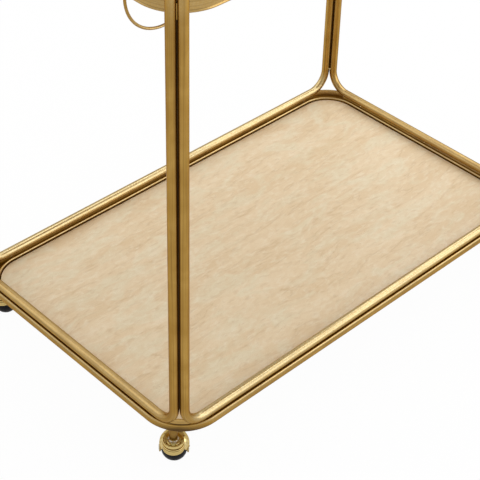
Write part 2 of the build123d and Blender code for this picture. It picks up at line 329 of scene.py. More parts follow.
@dataclass
class Skin:
    """Grids of points gathered into one mesh, with a UV map in metres and a value of rub and painted
    light.
    """

    name: str
    crease: float = CREASE
    points: list[Grid] = field(default_factory=list)
    faces: list[list[int]] = field(default_factory=list)
    corners: list[Grid] = field(default_factory=list)
    rubs: list[Grid] = field(default_factory=list)
    count: int = 0

    def add(
        self,
        grid: Grid,
        wrap_rows: bool = False,
        wrap_columns: bool = False,
        rub: Optional[Grid] = None,
        lids: bool = False,
    ) -> "Skin":
        """Adds one grid of quads.

        Args:
            grid: Points (rows, columns, 3).
            wrap_rows: Whether the last row joins the first.
            wrap_columns: Whether the last column joins the first.
            rub: Values (rows, columns) of rub and painted light, or None for none.
            lids: Whether the first and last rows are closed by flat faces.

        Returns:
            This skin.
        """
        rows, columns = grid.shape[:2]
        i = np.arange(rows if wrap_rows else rows - 1)[:, None]
        j = np.arange(columns if wrap_columns else columns - 1)[None, :]
        i2, j2 = (i + 1) % rows, (j + 1) % columns
        quads = np.stack(
            [i * columns + j, i2 * columns + j, i2 * columns + j2, i * columns + j2], axis=2
        ).reshape(-1, 4)
        u, v = along(grid, 0, wrap_rows), along(grid, 1, wrap_columns)
        i, j = np.broadcast_arrays(i, j)
        around = ((0, 0), (1, 0), (1, 1), (0, 1))
        uv = np.stack([np.stack([u[i + di], v[j + dj]], axis=2) for di, dj in around], axis=2)
        self.faces += (quads + self.count).tolist()
        self.corners.append(uv.reshape(-1, 2))
        if lids:
            for row, backward in ((0, False), (rows - 1, True)):
                ring = row * columns + np.arange(columns) + self.count
                self.faces.append((ring[::-1] if backward else ring).tolist())
                self.corners.append(np.stack([np.zeros(columns), v[:columns]], axis=1))
        self.points.append(grid.reshape(-1, 3))
        self.rubs.append(np.zeros(rows * columns) if rub is None else np.asarray(rub, float).ravel())
        self.count += rows * columns
        return self

    def make(self) -> bpy.types.Object:
        """Makes the mesh: doubles merged, faces turned outwards, creases kept sharp.

        Returns:
            The finished object, linked to the scene.
        """
        mesh = bpy.data.meshes.new(self.name)
        mesh.from_pydata(np.concatenate(self.points).tolist(), [], self.faces)
        uv_map = mesh.uv_layers.new(name="surface")
        uv_map.data.foreach_set("uv", np.concatenate(self.corners).astype(np.float32).ravel())
        rub = mesh.attributes.new("rub", "FLOAT", "POINT")
        rub.data.foreach_set("value", np.concatenate(self.rubs).astype(np.float32))
        work = bmesh.new()
        work.from_mesh(mesh)
        bmesh.ops.remove_doubles(work, verts=work.verts, dist=MERGE_REACH)
        bmesh.ops.recalc_face_normals(work, faces=work.faces)
        work.to_mesh(mesh)
        work.free()
        mesh.shade_smooth()
        mesh.set_sharp_from_angle(angle=self.crease)
        return linked(self.name, mesh)


def linked(name: str, data: bpy.types.ID) -> bpy.types.Object:
    """A new object that holds the data, linked to the scene."""
    made = bpy.data.objects.new(name, data)
    bpy.context.scene.collection.objects.link(made)
    return made


# --------------------------------------------------------------------------
# Finishes
# --------------------------------------------------------------------------


def colour(red: int, green: int, blue: int) -> tuple[float, float, float, float]:
    """A colour in linear light.

    Args:
        red: Red as it looks on a screen, 0 to 255.
        green: Green likewise.
        blue: Blue likewise.

    Returns:
        The three channels in linear light, and an alpha of 1.
    """

    def linear(value: float) -> float:
        """One channel in linear light."""
        share = value / 255
        return share / 12.92 if share <= 0.04045 else ((share + 0.055) / 1.055) ** 2.4

    return linear(red), linear(green), linear(blue), 1.0


@dataclass(frozen=True)
class Cloud:
    """Cloud noise, as large as its scale and stretch make it."""

    detail: float
    scale: float = 1.0
    warp: float = 0.0
    stretch: Optional[Triple] = None


@dataclass(frozen=True)
class Wash:
    """How a pattern lays a colour on: none at its start, and the share of it from full on."""

    start: float
    full: float
    share: float = 1.0


class Bench:
    """One material or world on the bench: adds nodes to it and joins them."""

    def __init__(self, held: bpy.types.ID) -> None:
        """Starts with an empty node tree."""
        self.held = held
        self.held.use_nodes = True
        self.tree = self.held.node_tree
        self.tree.nodes.clear()

    def node(self, kind: str, inputs: Optional[dict[Any, Any]] = None, **settings: Any) -> bpy.types.Node:
        """Adds a node.

        Args:
            kind: The node type without its ShaderNode prefix.
            inputs: Values for its sockets, or sockets to join to them.
            settings: Properties of the node.

        Returns:
            The node.
        """
        made = self.tree.nodes.new("ShaderNode" + kind)
        for key, value in settings.items():
            setattr(made, key, value)
        for key, value in (inputs or {}).items():
            if isinstance(value, bpy.types.NodeSocket):
                self.tree.links.new(value, made.inputs[key])
            else:
                made.inputs[key].default_value = value
        return made

    def stretched(self, source: bpy.types.NodeSocket, scale: Triple) -> bpy.types.NodeSocket:
        """Coordinates multiplied along each axis."""
        return self.node("Mapping", {"Vector": source, "Scale": scale}).outputs["Vector"]

    def cloud(self, source: bpy.types.NodeSocket, kind: Cloud) -> bpy.types.NodeSocket:
        """Adds cloud noise.

        Args:
            source: The coordinates.
            kind: Its size, detail and warp.

        Returns:
            A value from 0 to 1.
        """
        place = self.stretched(source, kind.stretch) if kind.stretch else source
        values = {"Vector": place, "Scale": kind.scale, "Detail": kind.detail, "Distortion": kind.warp}
        return self.node("TexNoise", values).outputs[0]

    def ranged(
        self, source: bpy.types.NodeSocket, low: float, high: float, to_low: float, to_high: float
    ) -> bpy.types.NodeSocket:
        """A value carried from one range to another, and held there.

        Args:
            source: The value.
            low: Where its range starts.
            high: Where its range ends.
            to_low: What it becomes at the start.
            to_high: What it becomes at the end.

        Returns:
            The new value, as a socket.
        """
        values = {"Value": source, "From Min": low, "From Max": high, "To Min": to_low, "To Max": to_high}
        return self.node("MapRange", values).outputs["Result"]

    def sums(self, operation: str, first: Any, second: Any = 0.0) -> bpy.types.NodeSocket:
        """One sum on one or two values."""
        return self.node("Math", {0: first, 1: second}, operation=operation).outputs[0]

    def blended(self, share: Any, first: Any, second: Any) -> bpy.types.NodeSocket:
        """Two colours blended: none of the second at a share of 0, all of it at 1."""
        return self.node("Mix", {0: share, 6: first, 7: second}, data_type="RGBA").outputs[2]

    def washed(
        self, under: Any, pattern: bpy.types.NodeSocket, wash: Wash, over: Shade
    ) -> bpy.types.NodeSocket:
        """One colour laid over another where a pattern calls for it.

        Args:
            under: The colour, or the socket that gives it, underneath.
            pattern: The value that the wash follows.
            wash: Where it starts, where it is full, and its share there.
            over: The colour that is laid on.

        Returns:
            The new colour.
        """
        share = self.ranged(pattern, wash.start, wash.full, 0.0, wash.share)
        return self.blended(share, under, colour(*over))

    def bumped(self, height: bpy.types.NodeSocket, depth: float, strength: float) -> bpy.types.NodeSocket:
        """A surface normal from a height and its depth in metres.

        Args:
            height: The pattern that gives the height.
            depth: The height of a full step, in metres.
            strength: How much of it shows, from 0 to 1.

        Returns:
            The normal, as a socket.
        """
        values = {"Height": height, "Distance": depth, "Strength": strength}
        return self.node("Bump", values).outputs["Normal"]

    def surface(self, values: dict[str, Any]) -> bpy.types.Material:
        """Joins a principled surface to the output and gives the material.

        Args:
            values: The surface's values, or sockets to join to them.

        Returns:
            The finished material.
        """
        shader = self.node("BsdfPrincipled", values)
        self.node("OutputMaterial", {"Surface": shader.outputs["BSDF"]})
        return self.held


def material_bench(name: str) -> Bench:
    """A bench with a new material on it."""
    return Bench(bpy.data.materials.new(name))


@dataclass(frozen=True)
class Brass:
    """Brass in one of its finishes, with drawn lines, tarnish clouds, rubbed places, painted highlights
    and painted shade.
    """

    name: str
    light: Shade
    dark: Shade
    # The pale colour serves wear and painted highlights; the dark one serves tarnish along the lines and
    # painted shade.
    rubbed: Shade
    tarnish: Shade
    edge: Shade  # what it mirrors at a low angle
    rough: tuple[float, float]  # roughness between and on the drawn lines
    line_depth: float
    coat: float
    drawn: Cloud = Cloud(3.0, stretch=(55.0, 5200.0, 1.0))
    long_lines: Cloud = Cloud(3.0, stretch=(4.0, 480.0, 1.0))
    clouds: Cloud = Cloud(5.0, scale=21.0, warp=0.6)
    specks: Cloud = Cloud(3.0, scale=420.0)
    cloud_wash: Wash = Wash(0.36, 0.66)
    line_wash: Wash = Wash(0.40, 0.66, 0.5)
    line_tarnish: Wash = Wash(0.48, 0.68, 0.28)
    nook_tarnish: Wash = Wash(0.0, -1.0, 0.85)
    speck_span: tuple[float, float] = (0.35, 0.65)
    speck_keep: float = 0.55
    rubbed_share: float = 0.85
    rubbed_shine: float = 0.07
    drawn_share: float = 0.7
    smear: tuple[float, float] = (-0.03, 0.05)
    line_strength: float = 0.35
    coat_rough: float = 0.12

    def build(self) -> bpy.types.Material:
        """Makes the material.

        The drawn lines follow the UV map's second axis, and the clouds the
        piece's place. A value of rub and painted light above 0 makes the metal
        paler and smoother where the specks let it, for wear and painted highlights,
        and a value below 0 darkens it with painted shade.

        Returns:
            The material.
        """
        bench = material_bench(self.name)
        place = bench.node("TexCoord").outputs
        drawn = bench.cloud(place["UV"], self.drawn)
        long_lines = bench.cloud(place["UV"], self.long_lines)
        clouds = bench.cloud(place["Object"], self.clouds)
        specks = bench.cloud(place["Object"], self.specks)
        rub = bench.node("Attribute", attribute_name="rub").outputs["Fac"]
        rub_and_highlight = bench.ranged(rub, 0.0, 1.0, 0.0, 1.0)
        speckled = bench.ranged(specks, *self.speck_span, self.speck_keep, 1.0)
        specked_rub_and_highlight = bench.sums("MULTIPLY", rub_and_highlight, speckled)
        tone = bench.washed(colour(*self.light), clouds, self.cloud_wash, self.dark)
        tone = bench.washed(tone, long_lines, self.line_wash, self.dark)
        # Wear and painted highlights: the pale colour where the value is above 0.
        bright = bench.sums("MULTIPLY", specked_rub_and_highlight, self.rubbed_share)
        tone = bench.blended(bright, tone, colour(*self.rubbed))
        tone = bench.washed(tone, long_lines, self.line_tarnish, self.tarnish)
        # Painted shade: the dark colour where the value is below 0.
        tone = bench.washed(tone, rub, self.nook_tarnish, self.tarnish)
        fine = bench.sums("MULTIPLY", drawn, self.drawn_share)
        coarse = bench.sums("MULTIPLY", long_lines, 1 - self.drawn_share)
        both = bench.sums("ADD", fine, coarse)
        rough = bench.ranged(both, *CLOUD_SPAN, *self.rough)
        rough = bench.sums("ADD", rough, bench.ranged(clouds, *CLOUD_SPAN, *self.smear))
        rough = bench.sums("SUBTRACT", rough, bench.sums("MULTIPLY", specked_rub_and_highlight, self.rubbed_shine))
        return bench.surface(
            {
                "Base Color": tone,
                "Metallic": 1.0,
                "Specular Tint": colour(*self.edge),
                "Roughness": rough,
                "Normal": bench.bumped(both, self.line_depth, self.line_strength),
                "Coat Weight": self.coat,
                "Coat Roughness": self.coat_rough,
            }
        )


@dataclass(frozen=True)
class Travertine:
    """Honed vein-cut stone: wavy bands along X, cream patches, broken veins and small pits."""

    name: str = "vein_cut_travertine"
    cream: Shade = (230, 210, 177)
    sand: Shade = (221, 196, 158)
    pale: Shade = (226, 214, 184)
    chalk: Shade = (239, 229, 207)
    vein: Shade = (194, 163, 120)
    pit: Shade = (168, 138, 98)
    drifts: tuple[tuple[float, float, Triple], ...] = (
        (5.0, 2.0, (0.02, 0.03, 0.0)),
        (34.0, 3.0, (0.006, 0.007, 0.0)),
    )
    bands: Cloud = Cloud(4.0, warp=0.3, stretch=(5.0, 36.0, 24.0))
    patches: Cloud = Cloud(5.0, warp=0.7, stretch=(15.0, 36.0, 30.0))
    mottles: Cloud = Cloud(4.0, warp=0.6, stretch=(80.0, 150.0, 110.0))
    streaks: Cloud = Cloud(4.0, warp=0.2, stretch=(60.0, 200.0, 90.0))
    grain: Cloud = Cloud(2.0, scale=900.0)
    gathered: Cloud = Cloud(2.0, stretch=(9.0, 24.0, 20.0))
    hone: Cloud = Cloud(4.0, stretch=(26.0, 92.0, 60.0))
    pit_stretch: Triple = (150.0, 330.0, 150.0)
    sand_wash: Wash = Wash(0.36, 0.66)
    pale_wash: Wash = Wash(0.48, 0.64, 0.75)
    chalk_wash: Wash = Wash(0.50, 0.72, 0.42)
    hollow_wash: Wash = Wash(0.48, 0.30, 0.45)
    streak_wash: Wash = Wash(0.55, 0.76, 0.36)
    grain_wash: Wash = Wash(0.42, 0.72, 0.28)
    vein_gaps: tuple[float, float] = (0.44, 0.60)
    pit_span: tuple[float, float] = (0.06, 0.2)
    gather_span: tuple[float, float] = (0.54, 0.66)
    vein_level: float = 0.53
    vein_half: float = 0.016
    vein_share: float = 0.35
    pit_share: float = 0.5
    pit_rough: float = 0.3
    hone_height: float = 0.12
    rough: tuple[float, float] = (0.37, 0.49)
    gloss: float = 0.42
    relief: float = 0.0005
    relief_strength: float = 0.5

    def bent(self, bench: Bench, place: bpy.types.NodeSocket) -> bpy.types.NodeSocket:
        """Places shifted by clouds of two sizes, so that the bands wander.

        Args:
            bench: The material's bench.
            place: The piece's coordinates.

        Returns:
            The shifted coordinates.
        """
        shifted = place
        for scale, detail, reach in self.drifts:
            values = {"Vector": place, "Scale": scale, "Detail": detail}
            cloud = bench.node("TexNoise", values).outputs["Color"]
            shift = bench.node("VectorMath", {0: cloud, 1: reach}, operation="MULTIPLY").outputs[0]
            shifted = bench.node("VectorMath", {0: shifted, 1: shift}, operation="ADD").outputs[0]
        return shifted

    def tones(
        self, bench: Bench, place: bpy.types.NodeSocket, bent: bpy.types.NodeSocket
    ) -> bpy.types.NodeSocket:
        """The colour before its pits: bands, then patches, mottles, streaks, grain and veins.

        Args:
            bench: The material's bench.
            place: The piece's coordinates.
            bent: The same coordinates after the drift.

        Returns:
            The colour.
        """
        bands = bench.cloud(bent, self.bands)
        patches = bench.cloud(bent, self.patches)
        mottles = bench.cloud(bent, self.mottles)
        streaks = bench.cloud(bent, self.streaks)
        grain = bench.cloud(place, self.grain)
        tone = colour(*self.cream)
        for pattern, wash, shade in (
            (bands, self.sand_wash, self.sand),
            (patches, self.pale_wash, self.pale),
            (mottles, self.chalk_wash, self.chalk),
            (mottles, self.hollow_wash, self.sand),
            (streaks, self.streak_wash, self.vein),
            (grain, self.grain_wash, self.vein),
        ):
            tone = bench.washed(tone, pattern, wash, shade)
        return bench.blended(self.veined(bench, bands, patches), tone, colour(*self.vein))

    def veined(
        self, bench: Bench, bands: bpy.types.NodeSocket, patches: bpy.types.NodeSocket
    ) -> bpy.types.NodeSocket:
        """Thin lines along the edges of the bands, broken where the patches are pale.

        Args:
            bench: The material's bench.
            bands: The bands' pattern, which has a line where it passes one level.
            patches: The patches' pattern.

        Returns:
            The share of the vein's colour.
        """
        off = bench.sums("ABSOLUTE", bench.sums("SUBTRACT", bands, self.vein_level))
        line = bench.ranged(off, 0.0, self.vein_half, self.vein_share, 0.0)
        return bench.sums("MULTIPLY", line, bench.ranged(patches, *self.vein_gaps, 1.0, 0.0))

    def pitted(
        self, bench: Bench, place: bpy.types.NodeSocket, bent: bpy.types.NodeSocket
    ) -> bpy.types.NodeSocket:
        """Small holes, a little longer along X, gathered in some places.

        Args:
            bench: The material's bench.
            place: The piece's coordinates.
            bent: The same coordinates after the drift.

        Returns:
            1 in a hole and 0 beside it.
        """
        spots = {"Vector": bench.stretched(bent, self.pit_stretch), "Scale": 1.0}
        cells = bench.node("TexVoronoi", spots).outputs["Distance"]
        hole = bench.ranged(cells, *self.pit_span, 1.0, 0.0)
        gathered = bench.cloud(place, self.gathered)
        return bench.sums("MULTIPLY", hole, bench.ranged(gathered, *self.gather_span, 0.0, 1.0))

    def build(self) -> bpy.types.Material:
        """Makes the material: the tones, the pits, and the small relief of the hone.

        Returns:
            The material.
        """
        bench = material_bench(self.name)
        place = bench.node("TexCoord").outputs["Object"]
        bent = self.bent(bench, place)
        holes = self.pitted(bench, place, bent)
        holed = bench.sums("MULTIPLY", holes, self.pit_share)
        # The pits are darkened with painted shade.
        tone = bench.blended(holed, self.tones(bench, place, bent), colour(*self.pit))
        hone = bench.cloud(bent, self.hone)
        rough = bench.ranged(hone, *CLOUD_SPAN, *self.rough)
        rough = bench.sums("ADD", rough, bench.sums("MULTIPLY", holes, self.pit_rough))
        height = bench.sums("SUBTRACT", bench.sums("MULTIPLY", hone, self.hone_height), holes)
        return bench.surface(
            {
                "Base Color": tone,
                "Roughness": rough,
                "Specular IOR Level": self.gloss,
                "Normal": bench.bumped(height, self.relief, self.relief_strength),
            }
        )


@dataclass(frozen=True)
class Zinc:
    """Bright zinc plate with a faint warm bloom and spanner scuffs."""

    name: str = "bright_zinc"
    pale: Shade = (250, 252, 250)
    bloom: Shade = (240, 240, 228)
    clouds: Cloud = Cloud(4.0, scale=190.0, warp=0.8)
    scuffs: Cloud = Cloud(3.0, stretch=(700.0, 700.0, 3600.0))
    bloom_wash: Wash = Wash(0.38, 0.66)
    rough: tuple[float, float] = (0.26, 0.46)
    scuff_depth: float = 0.00003
    scuff_strength: float = 0.4

    def build(self) -> bpy.types.Material:
        """Makes the material: the bloom in clouds, the scuffs in the roughness and relief.

        Returns:
            The material.
        """
        bench = material_bench(self.name)
        place = bench.node("TexCoord").outputs["Object"]
        clouds = bench.cloud(place, self.clouds)
        scuffs = bench.cloud(place, self.scuffs)
        return bench.surface(
            {
                "Base Color": bench.washed(colour(*self.pale), clouds, self.bloom_wash, self.bloom),
                "Metallic": 1.0,
                "Roughness": bench.ranged(scuffs, *CLOUD_SPAN, *self.rough),
                "Normal": bench.bumped(scuffs, self.scuff_depth, self.scuff_strength),
            }
        )


@dataclass(frozen=True)
class BlackTread:
    """Moulded black tread: slightly glossy, with scuffs and dust where it has rolled."""

    name: str = "black_tread"
    body: Shade = (8, 7, 8)
    dust: Shade = (38, 36, 34)
    scuffs: Cloud = Cloud(4.0, stretch=(260.0, 1900.0, 1.0))
    specks: Cloud = Cloud(3.0, scale=1300.0)
    speck_span: tuple[float, float] = (0.48, 0.70)
    dust_share: float = 0.6
    rough: tuple[float, float] = (0.28, 0.50)
    rolled_rough: float = 0.12
    gloss: float = 0.16
    speck_depth: float = 0.00002
    speck_strength: float = 0.3

    def build(self) -> bpy.types.Material:
        """Makes the material: dust in specks, by the value of rub and painted light, and scuffs round the
        ball.

        Returns:
            The material.
        """
        bench = material_bench(self.name)
        place = bench.node("TexCoord").outputs
        scuffs = bench.cloud(place["UV"], self.scuffs)
        specks = bench.cloud(place["Object"], self.specks)
        rub = bench.node("Attribute", attribute_name="rub").outputs["Fac"]
        speckled = bench.ranged(specks, *self.speck_span, 0.0, self.dust_share)
        dusty = bench.sums("MULTIPLY", rub, speckled)
        rough = bench.ranged(scuffs, *CLOUD_SPAN, *self.rough)
        return bench.surface(
            {
                "Base Color": bench.blended(dusty, colour(*self.body), colour(*self.dust)),
                "Roughness": bench.sums("ADD", rough, bench.sums("MULTIPLY", rub, self.rolled_rough)),
                "Specular IOR Level": self.gloss,
                "Normal": bench.bumped(specks, self.speck_depth, self.speck_strength),
            }
        )


class Finish(Enum):
    """The finishes of the cart, by the record's material slot."""

    BRUSHED_BRASS = Brass(
        name="brushed_brass",
        light=(186, 147, 72),
        dark=(166, 126, 52),
        rubbed=(210, 196, 154),
        tarnish=(54, 32, 6),
        edge=(206, 170, 104),
        rough=(0.26, 0.40),
        line_depth=0.00002,
        coat=0.3,
    )
    POLISHED_BRASS = Brass(
        name="polished_brass",
        light=(224, 200, 132),
        dark=(202, 174, 98),
        rubbed=(238, 218, 160),
        tarnish=(104, 74, 20),
        edge=(236, 214, 150),
        rough=(0.10, 0.16),
        line_depth=0.000006,
        coat=0.6,
    )
    STONE_PANEL = Travertine()
    ZINC = Zinc()
    BLACK_BALL = BlackTread()

    @property
    def slot(self) -> str:
        """The slot's name in the record."""
        return self.name.lower()


class Shop:
    """Keeps one material for each finish, and dresses and fits the pieces."""

    def __init__(self) -> None:
        """Builds every finish once."""
        self.stock = {finish: finish.value.build() for finish in Finish}

    def fit(self, skin: Skin, finish: Finish, body: str, nodes: Sequence[str]) -> bpy.types.Object:
        """Makes a piece, dresses it and sets it on its body in place of CAD nodes.

        Args:
            skin: The gathered grids.
            finish: What it is finished in.
            body: The body that it rides on.
            nodes: The CAD nodes that it stands for.

        Returns:
            The piece.
        """
        piece = skin.make()
        piece.data.materials.append(self.stock[finish])
        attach(piece, body)
        if nodes:
            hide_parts(*nodes)
        LOG.info("%s: %d faces, %s, on %s", piece.name, len(piece.data.polygons), finish.slot, body)
        return piece

    def dress(self, node: str, finish: Finish) -> None:
        """Gives a CAD node that stays as it is its finish.

        Args:
            node: The CAD node's name.
            finish: What it is finished in.
        """
        mesh = frame["nodes"][node].data
        mesh.materials.clear()
        mesh.materials.append(self.stock[finish])
        LOG.info("%s: kept, %s", node, finish.slot)


# --------------------------------------------------------------------------
# Sub-assemblies
# --------------------------------------------------------------------------


@dataclass(kw_only=True)
class Plan:
    """The cart's plan, which its tubes, trays and joints share."""

    length: float = 774 * MM
    width: float = 458 * MM
    corner_radius: float = 60 * MM


@dataclass(kw_only=True)
class TubeFrame(Plan):
    """Four closed loops of round tube, paired at the corners, with their welds, seams and fins."""

    rail_height: float = 99.5 * MM
    loop_height: float = 700 * MM
    bend: float = 35 * MM
    leg_inset: float = 9.7 * MM
    tube_radius: float = 6.75 * MM
    tube_steps: int = 28
    weld_width: float = 5.6 * MM
    weld_height: float = 4 * MM
    weld_near: float = 1.5 * MM
    weld_far: float = 6.0 * MM
    weld_rise: float = 39 * MM
    seam_radius: float = 1.2 * MM
    fin_height: float = 18 * MM
    fin_thickness: float = 4.6 * MM
    fin_foot: float = 734.5 * MM
    fin_outer: float = 2.0 * MM
    fin_clearance: float = 0.4 * MM
    web_arris: float = 0.22
    fillet: float = 1.2 * MM
    fillet_fall: float = 0.6
    bend_grip: float = 0.75
    top_grip: float = 0.6
    top_from: float = 0.38
    top_rate: float = 9
    side_wipe: float = 0.5
    upper_wipe: float = 0.7
    end_wipe: float = 0.45
    nook_power: int = 4
    nook_fade: float = 15 * MM

    def loop(self, end: str) -> Skin:
        """One loop: a circle carried round a rounded rectangle that stands upright.

        Its outer side is worn pale where hands grip its bends and top. Its level
        runs are paled with a painted highlight, most on their upper side, by the
        part of the skin's direction that points up, and less so on the loops at the
        two ends. The notch by each pair's other upright is darkened with painted shade.

        Args:
            end: The side of the cart that it stands on.

        Returns:
            The loop's skin.
        """
        sign = -1 if end in ("front", "left") else 1
        plane = Plane.FRONT if end in ("front", "back") else Plane.END
        span = (self.length if plane is Plane.FRONT else self.width) - 2 * self.leg_inset
        run, out = rounded_run(span, self.loop_height, self.bend, arc=22, straight=18)
        offset = sign * (self.width if plane is Plane.FRONT else self.length) / 2
        across = np.array([0.0, 1.0, 0.0] if plane is Plane.FRONT else [1.0, 0.0, 0.0])
        path = stand(run, plane) + across * offset
        path[:, 2] += self.rail_height + self.loop_height / 2
        ring = circle_profile(self.tube_radius, self.tube_steps)
        grid = carried(path, stand(out, plane), across, ring)
        turn = round_angles(self.tube_steps)
        high = np.clip((run[:, 1] / self.loop_height - self.top_from) * self.top_rate, 0, 1)
        grip = self.bend_grip * bend_share(out) + self.top_grip * high
        gripped = grip[:, None] * np.clip(np.cos(turn), 0, 1)[None, :]
        level = out[:, 1, None]
        facing_up = np.sign(level) * np.cos(turn)[None, :]
        # Painted highlight on the level runs, strongest on their upper side.
        painted_highlight = np.abs(level) * np.clip(self.side_wipe + self.upper_wipe * facing_up, 0, 1)
        if plane is Plane.END:
            painted_highlight = painted_highlight * self.end_wipe
        rub = np.clip(np.maximum(gripped, painted_highlight), 0, 1) - self.nook(run, out, turn, sign)
        return Skin(f"{end}_tube_loop").add(grid, wrap_rows=True, wrap_columns=True, rub=rub)

    def nook(self, run: Grid, out: Grid, turn: Grid, sign: int) -> Grid:
        """How much painted shade each point of a loop takes from the upright that stands beside it.

        It is the cosine of the angle between the skin's direction and the line
        to the other upright, to a power, and fades out over the bends.

        Args:
            run: The loop's path (n, 2) in its own plane.
            out: The outward directions (n, 2).
            turn: The angles round the tube.
            sign: Which side of the cart the loop stands on.

        Returns:
            Values from 0 to 1 for the loop's grid.
        """
        facing = (np.cos(turn) - sign * np.sin(turn)) / math.sqrt(2)
        towards = np.clip(facing, 0, 1) ** self.nook_power
        straight = self.loop_height / 2 - self.bend
        fade = np.clip(1 - (np.abs(run[:, 1]) - straight) / self.nook_fade, 0, 1)
        return (np.abs(out[:, 0]) * fade)[:, None] * towards[None, :]

    def leg_middle(self, corner: Corner) -> tuple[float, float]:
        """The plan point midway between a corner's two uprights.

        Args:
            corner: The corner.

        Returns:
            Its place along X and Y.
        """
        sx, sy = corner.value
        return sx * (self.length - self.leg_inset) / 2, sy * (self.width - self.leg_inset) / 2

    def welds(self) -> Skin:
        """The weld beads in the inner notch of each pair of uprights, near their ends.

        A bead is an ellipsoid: its half sizes times the cosine and sine of the
        turn and of the rise from foot to top.

        Returns:
            The eight beads.
        """
        skin = Skin("leg_tabs")
        rise = np.linspace(-QUARTER_TURN, QUARTER_TURN, 13)[:, None]
        turn = round_angles(24)[None, :]
        middle = (self.weld_far + self.weld_near) / 2
        half = (self.weld_far - self.weld_near) / 2
        sizes = (
            -middle + half * np.cos(rise) * np.cos(turn),
            self.weld_width / 2 * np.cos(rise) * np.sin(turn),
            self.weld_height / 2 * np.sin(rise),
        )
        bead = np.stack(np.broadcast_arrays(*sizes), axis=2)
        # The beads are paled with a painted highlight.
        rub = np.ones(bead.shape[:2])
        for corner in Corner:
            x, y = self.leg_middle(corner)
            for rise_at in (self.weld_rise, self.loop_height - self.weld_rise):
                at = (x, y, self.rail_height + rise_at)
                skin.add(placed(bead, at, corner.heading), wrap_columns=True, rub=rub)
        return skin

    def seams(self) -> Skin:
        """The line of filler along which the two uprights of each pair are joined.

        A circle carried straight up, wider than the gap and sunk in both tubes.

        Returns:
            The four seams.
        """
        skin = Skin("upright_seams")
        foot = self.rail_height + self.bend
        head = self.rail_height + self.loop_height - self.bend
        ring = circle_profile(self.seam_radius, 12)
        rise = np.linspace(foot, head, 3)[:, None, None] * UP
        # The seams are darkened with painted shade, for the crevice between the uprights.
        rub = np.full((len(rise), len(ring)), -1.0)
        for corner in Corner:
            plan = stand(ring + np.array(self.leg_middle(corner)), Plane.LEVEL)
            skin.add(plan[None, :, :] + rise, wrap_columns=True, rub=rub, lids=True)
        return skin

    def web(self, half_span: float, width: float, height: float) -> Grid:
        """A short bar along X whose ends flare into what they are welded to.

        Its section is a rounded rectangle, and grows towards each end by the
        fillet times the exponential of minus the distance from the end.

        Args:
            half_span: Half its length.
            width: Its size across.
            height: Its size upwards.

        Returns:
            The bar's grid.
        """
        stations = half_span * np.sin(np.linspace(-QUARTER_TURN, QUARTER_TURN, 15))
        from_end = half_span - np.abs(stations)
        flare = self.fillet * np.exp(-from_end / (self.fillet * self.fillet_fall))
        arris = min(width, height) * self.web_arris
        section, out = rounded_run(width, height, arris, arc=4, straight=3)
        flat = section[None, :, :] + out[None, :, :] * flare[:, None, None]
        along_x = np.broadcast_to(stations[:, None], flat.shape[:2])
        return np.stack([along_x, flat[:, :, 0], flat[:, :, 1]], axis=2)

    def fins(self) -> Skin:
        """The four fins, each from a pair of uprights to the corner of the upper apron.

        Returns:
            The fins' skin.
        """
        skin = Skin("tray_fins")
        to_arc = self.corner_radius * (math.sqrt(2) - 1)
        inner = to_arc - self.leg_inset / math.sqrt(2) - self.fin_clearance
        grid = self.web((inner + self.fin_outer) / 2, self.fin_thickness, self.fin_height)
        shift = (self.fin_outer - inner) / 2
        for corner in Corner:
            x, y = self.leg_middle(corner)
            at = (
                x + shift * math.cos(corner.heading),
                y + shift * math.sin(corner.heading),
                self.fin_foot + self.fin_height / 2,
            )
            skin.add(placed(grid, at, corner.heading), wrap_columns=True, lids=True)
        return skin

    def build(self, shop: Shop) -> None:
        """Makes and dresses the loops, their welds and seams, and the fins.

        Args:
            shop: Where the finishes are kept.
        """
        for end in ("front", "back", "left", "right"):
            shop.fit(self.loop(end), Finish.BRUSHED_BRASS, "frame", [f"{end}_loop"])
        shop.fit(self.welds(), Finish.BRUSHED_BRASS, "frame", ["leg_weld_tabs"])
        shop.fit(self.seams(), Finish.BRUSHED_BRASS, "frame", [])
        shop.fit(self.fins(), Finish.BRUSHED_BRASS, "frame", ["apron_fins"])


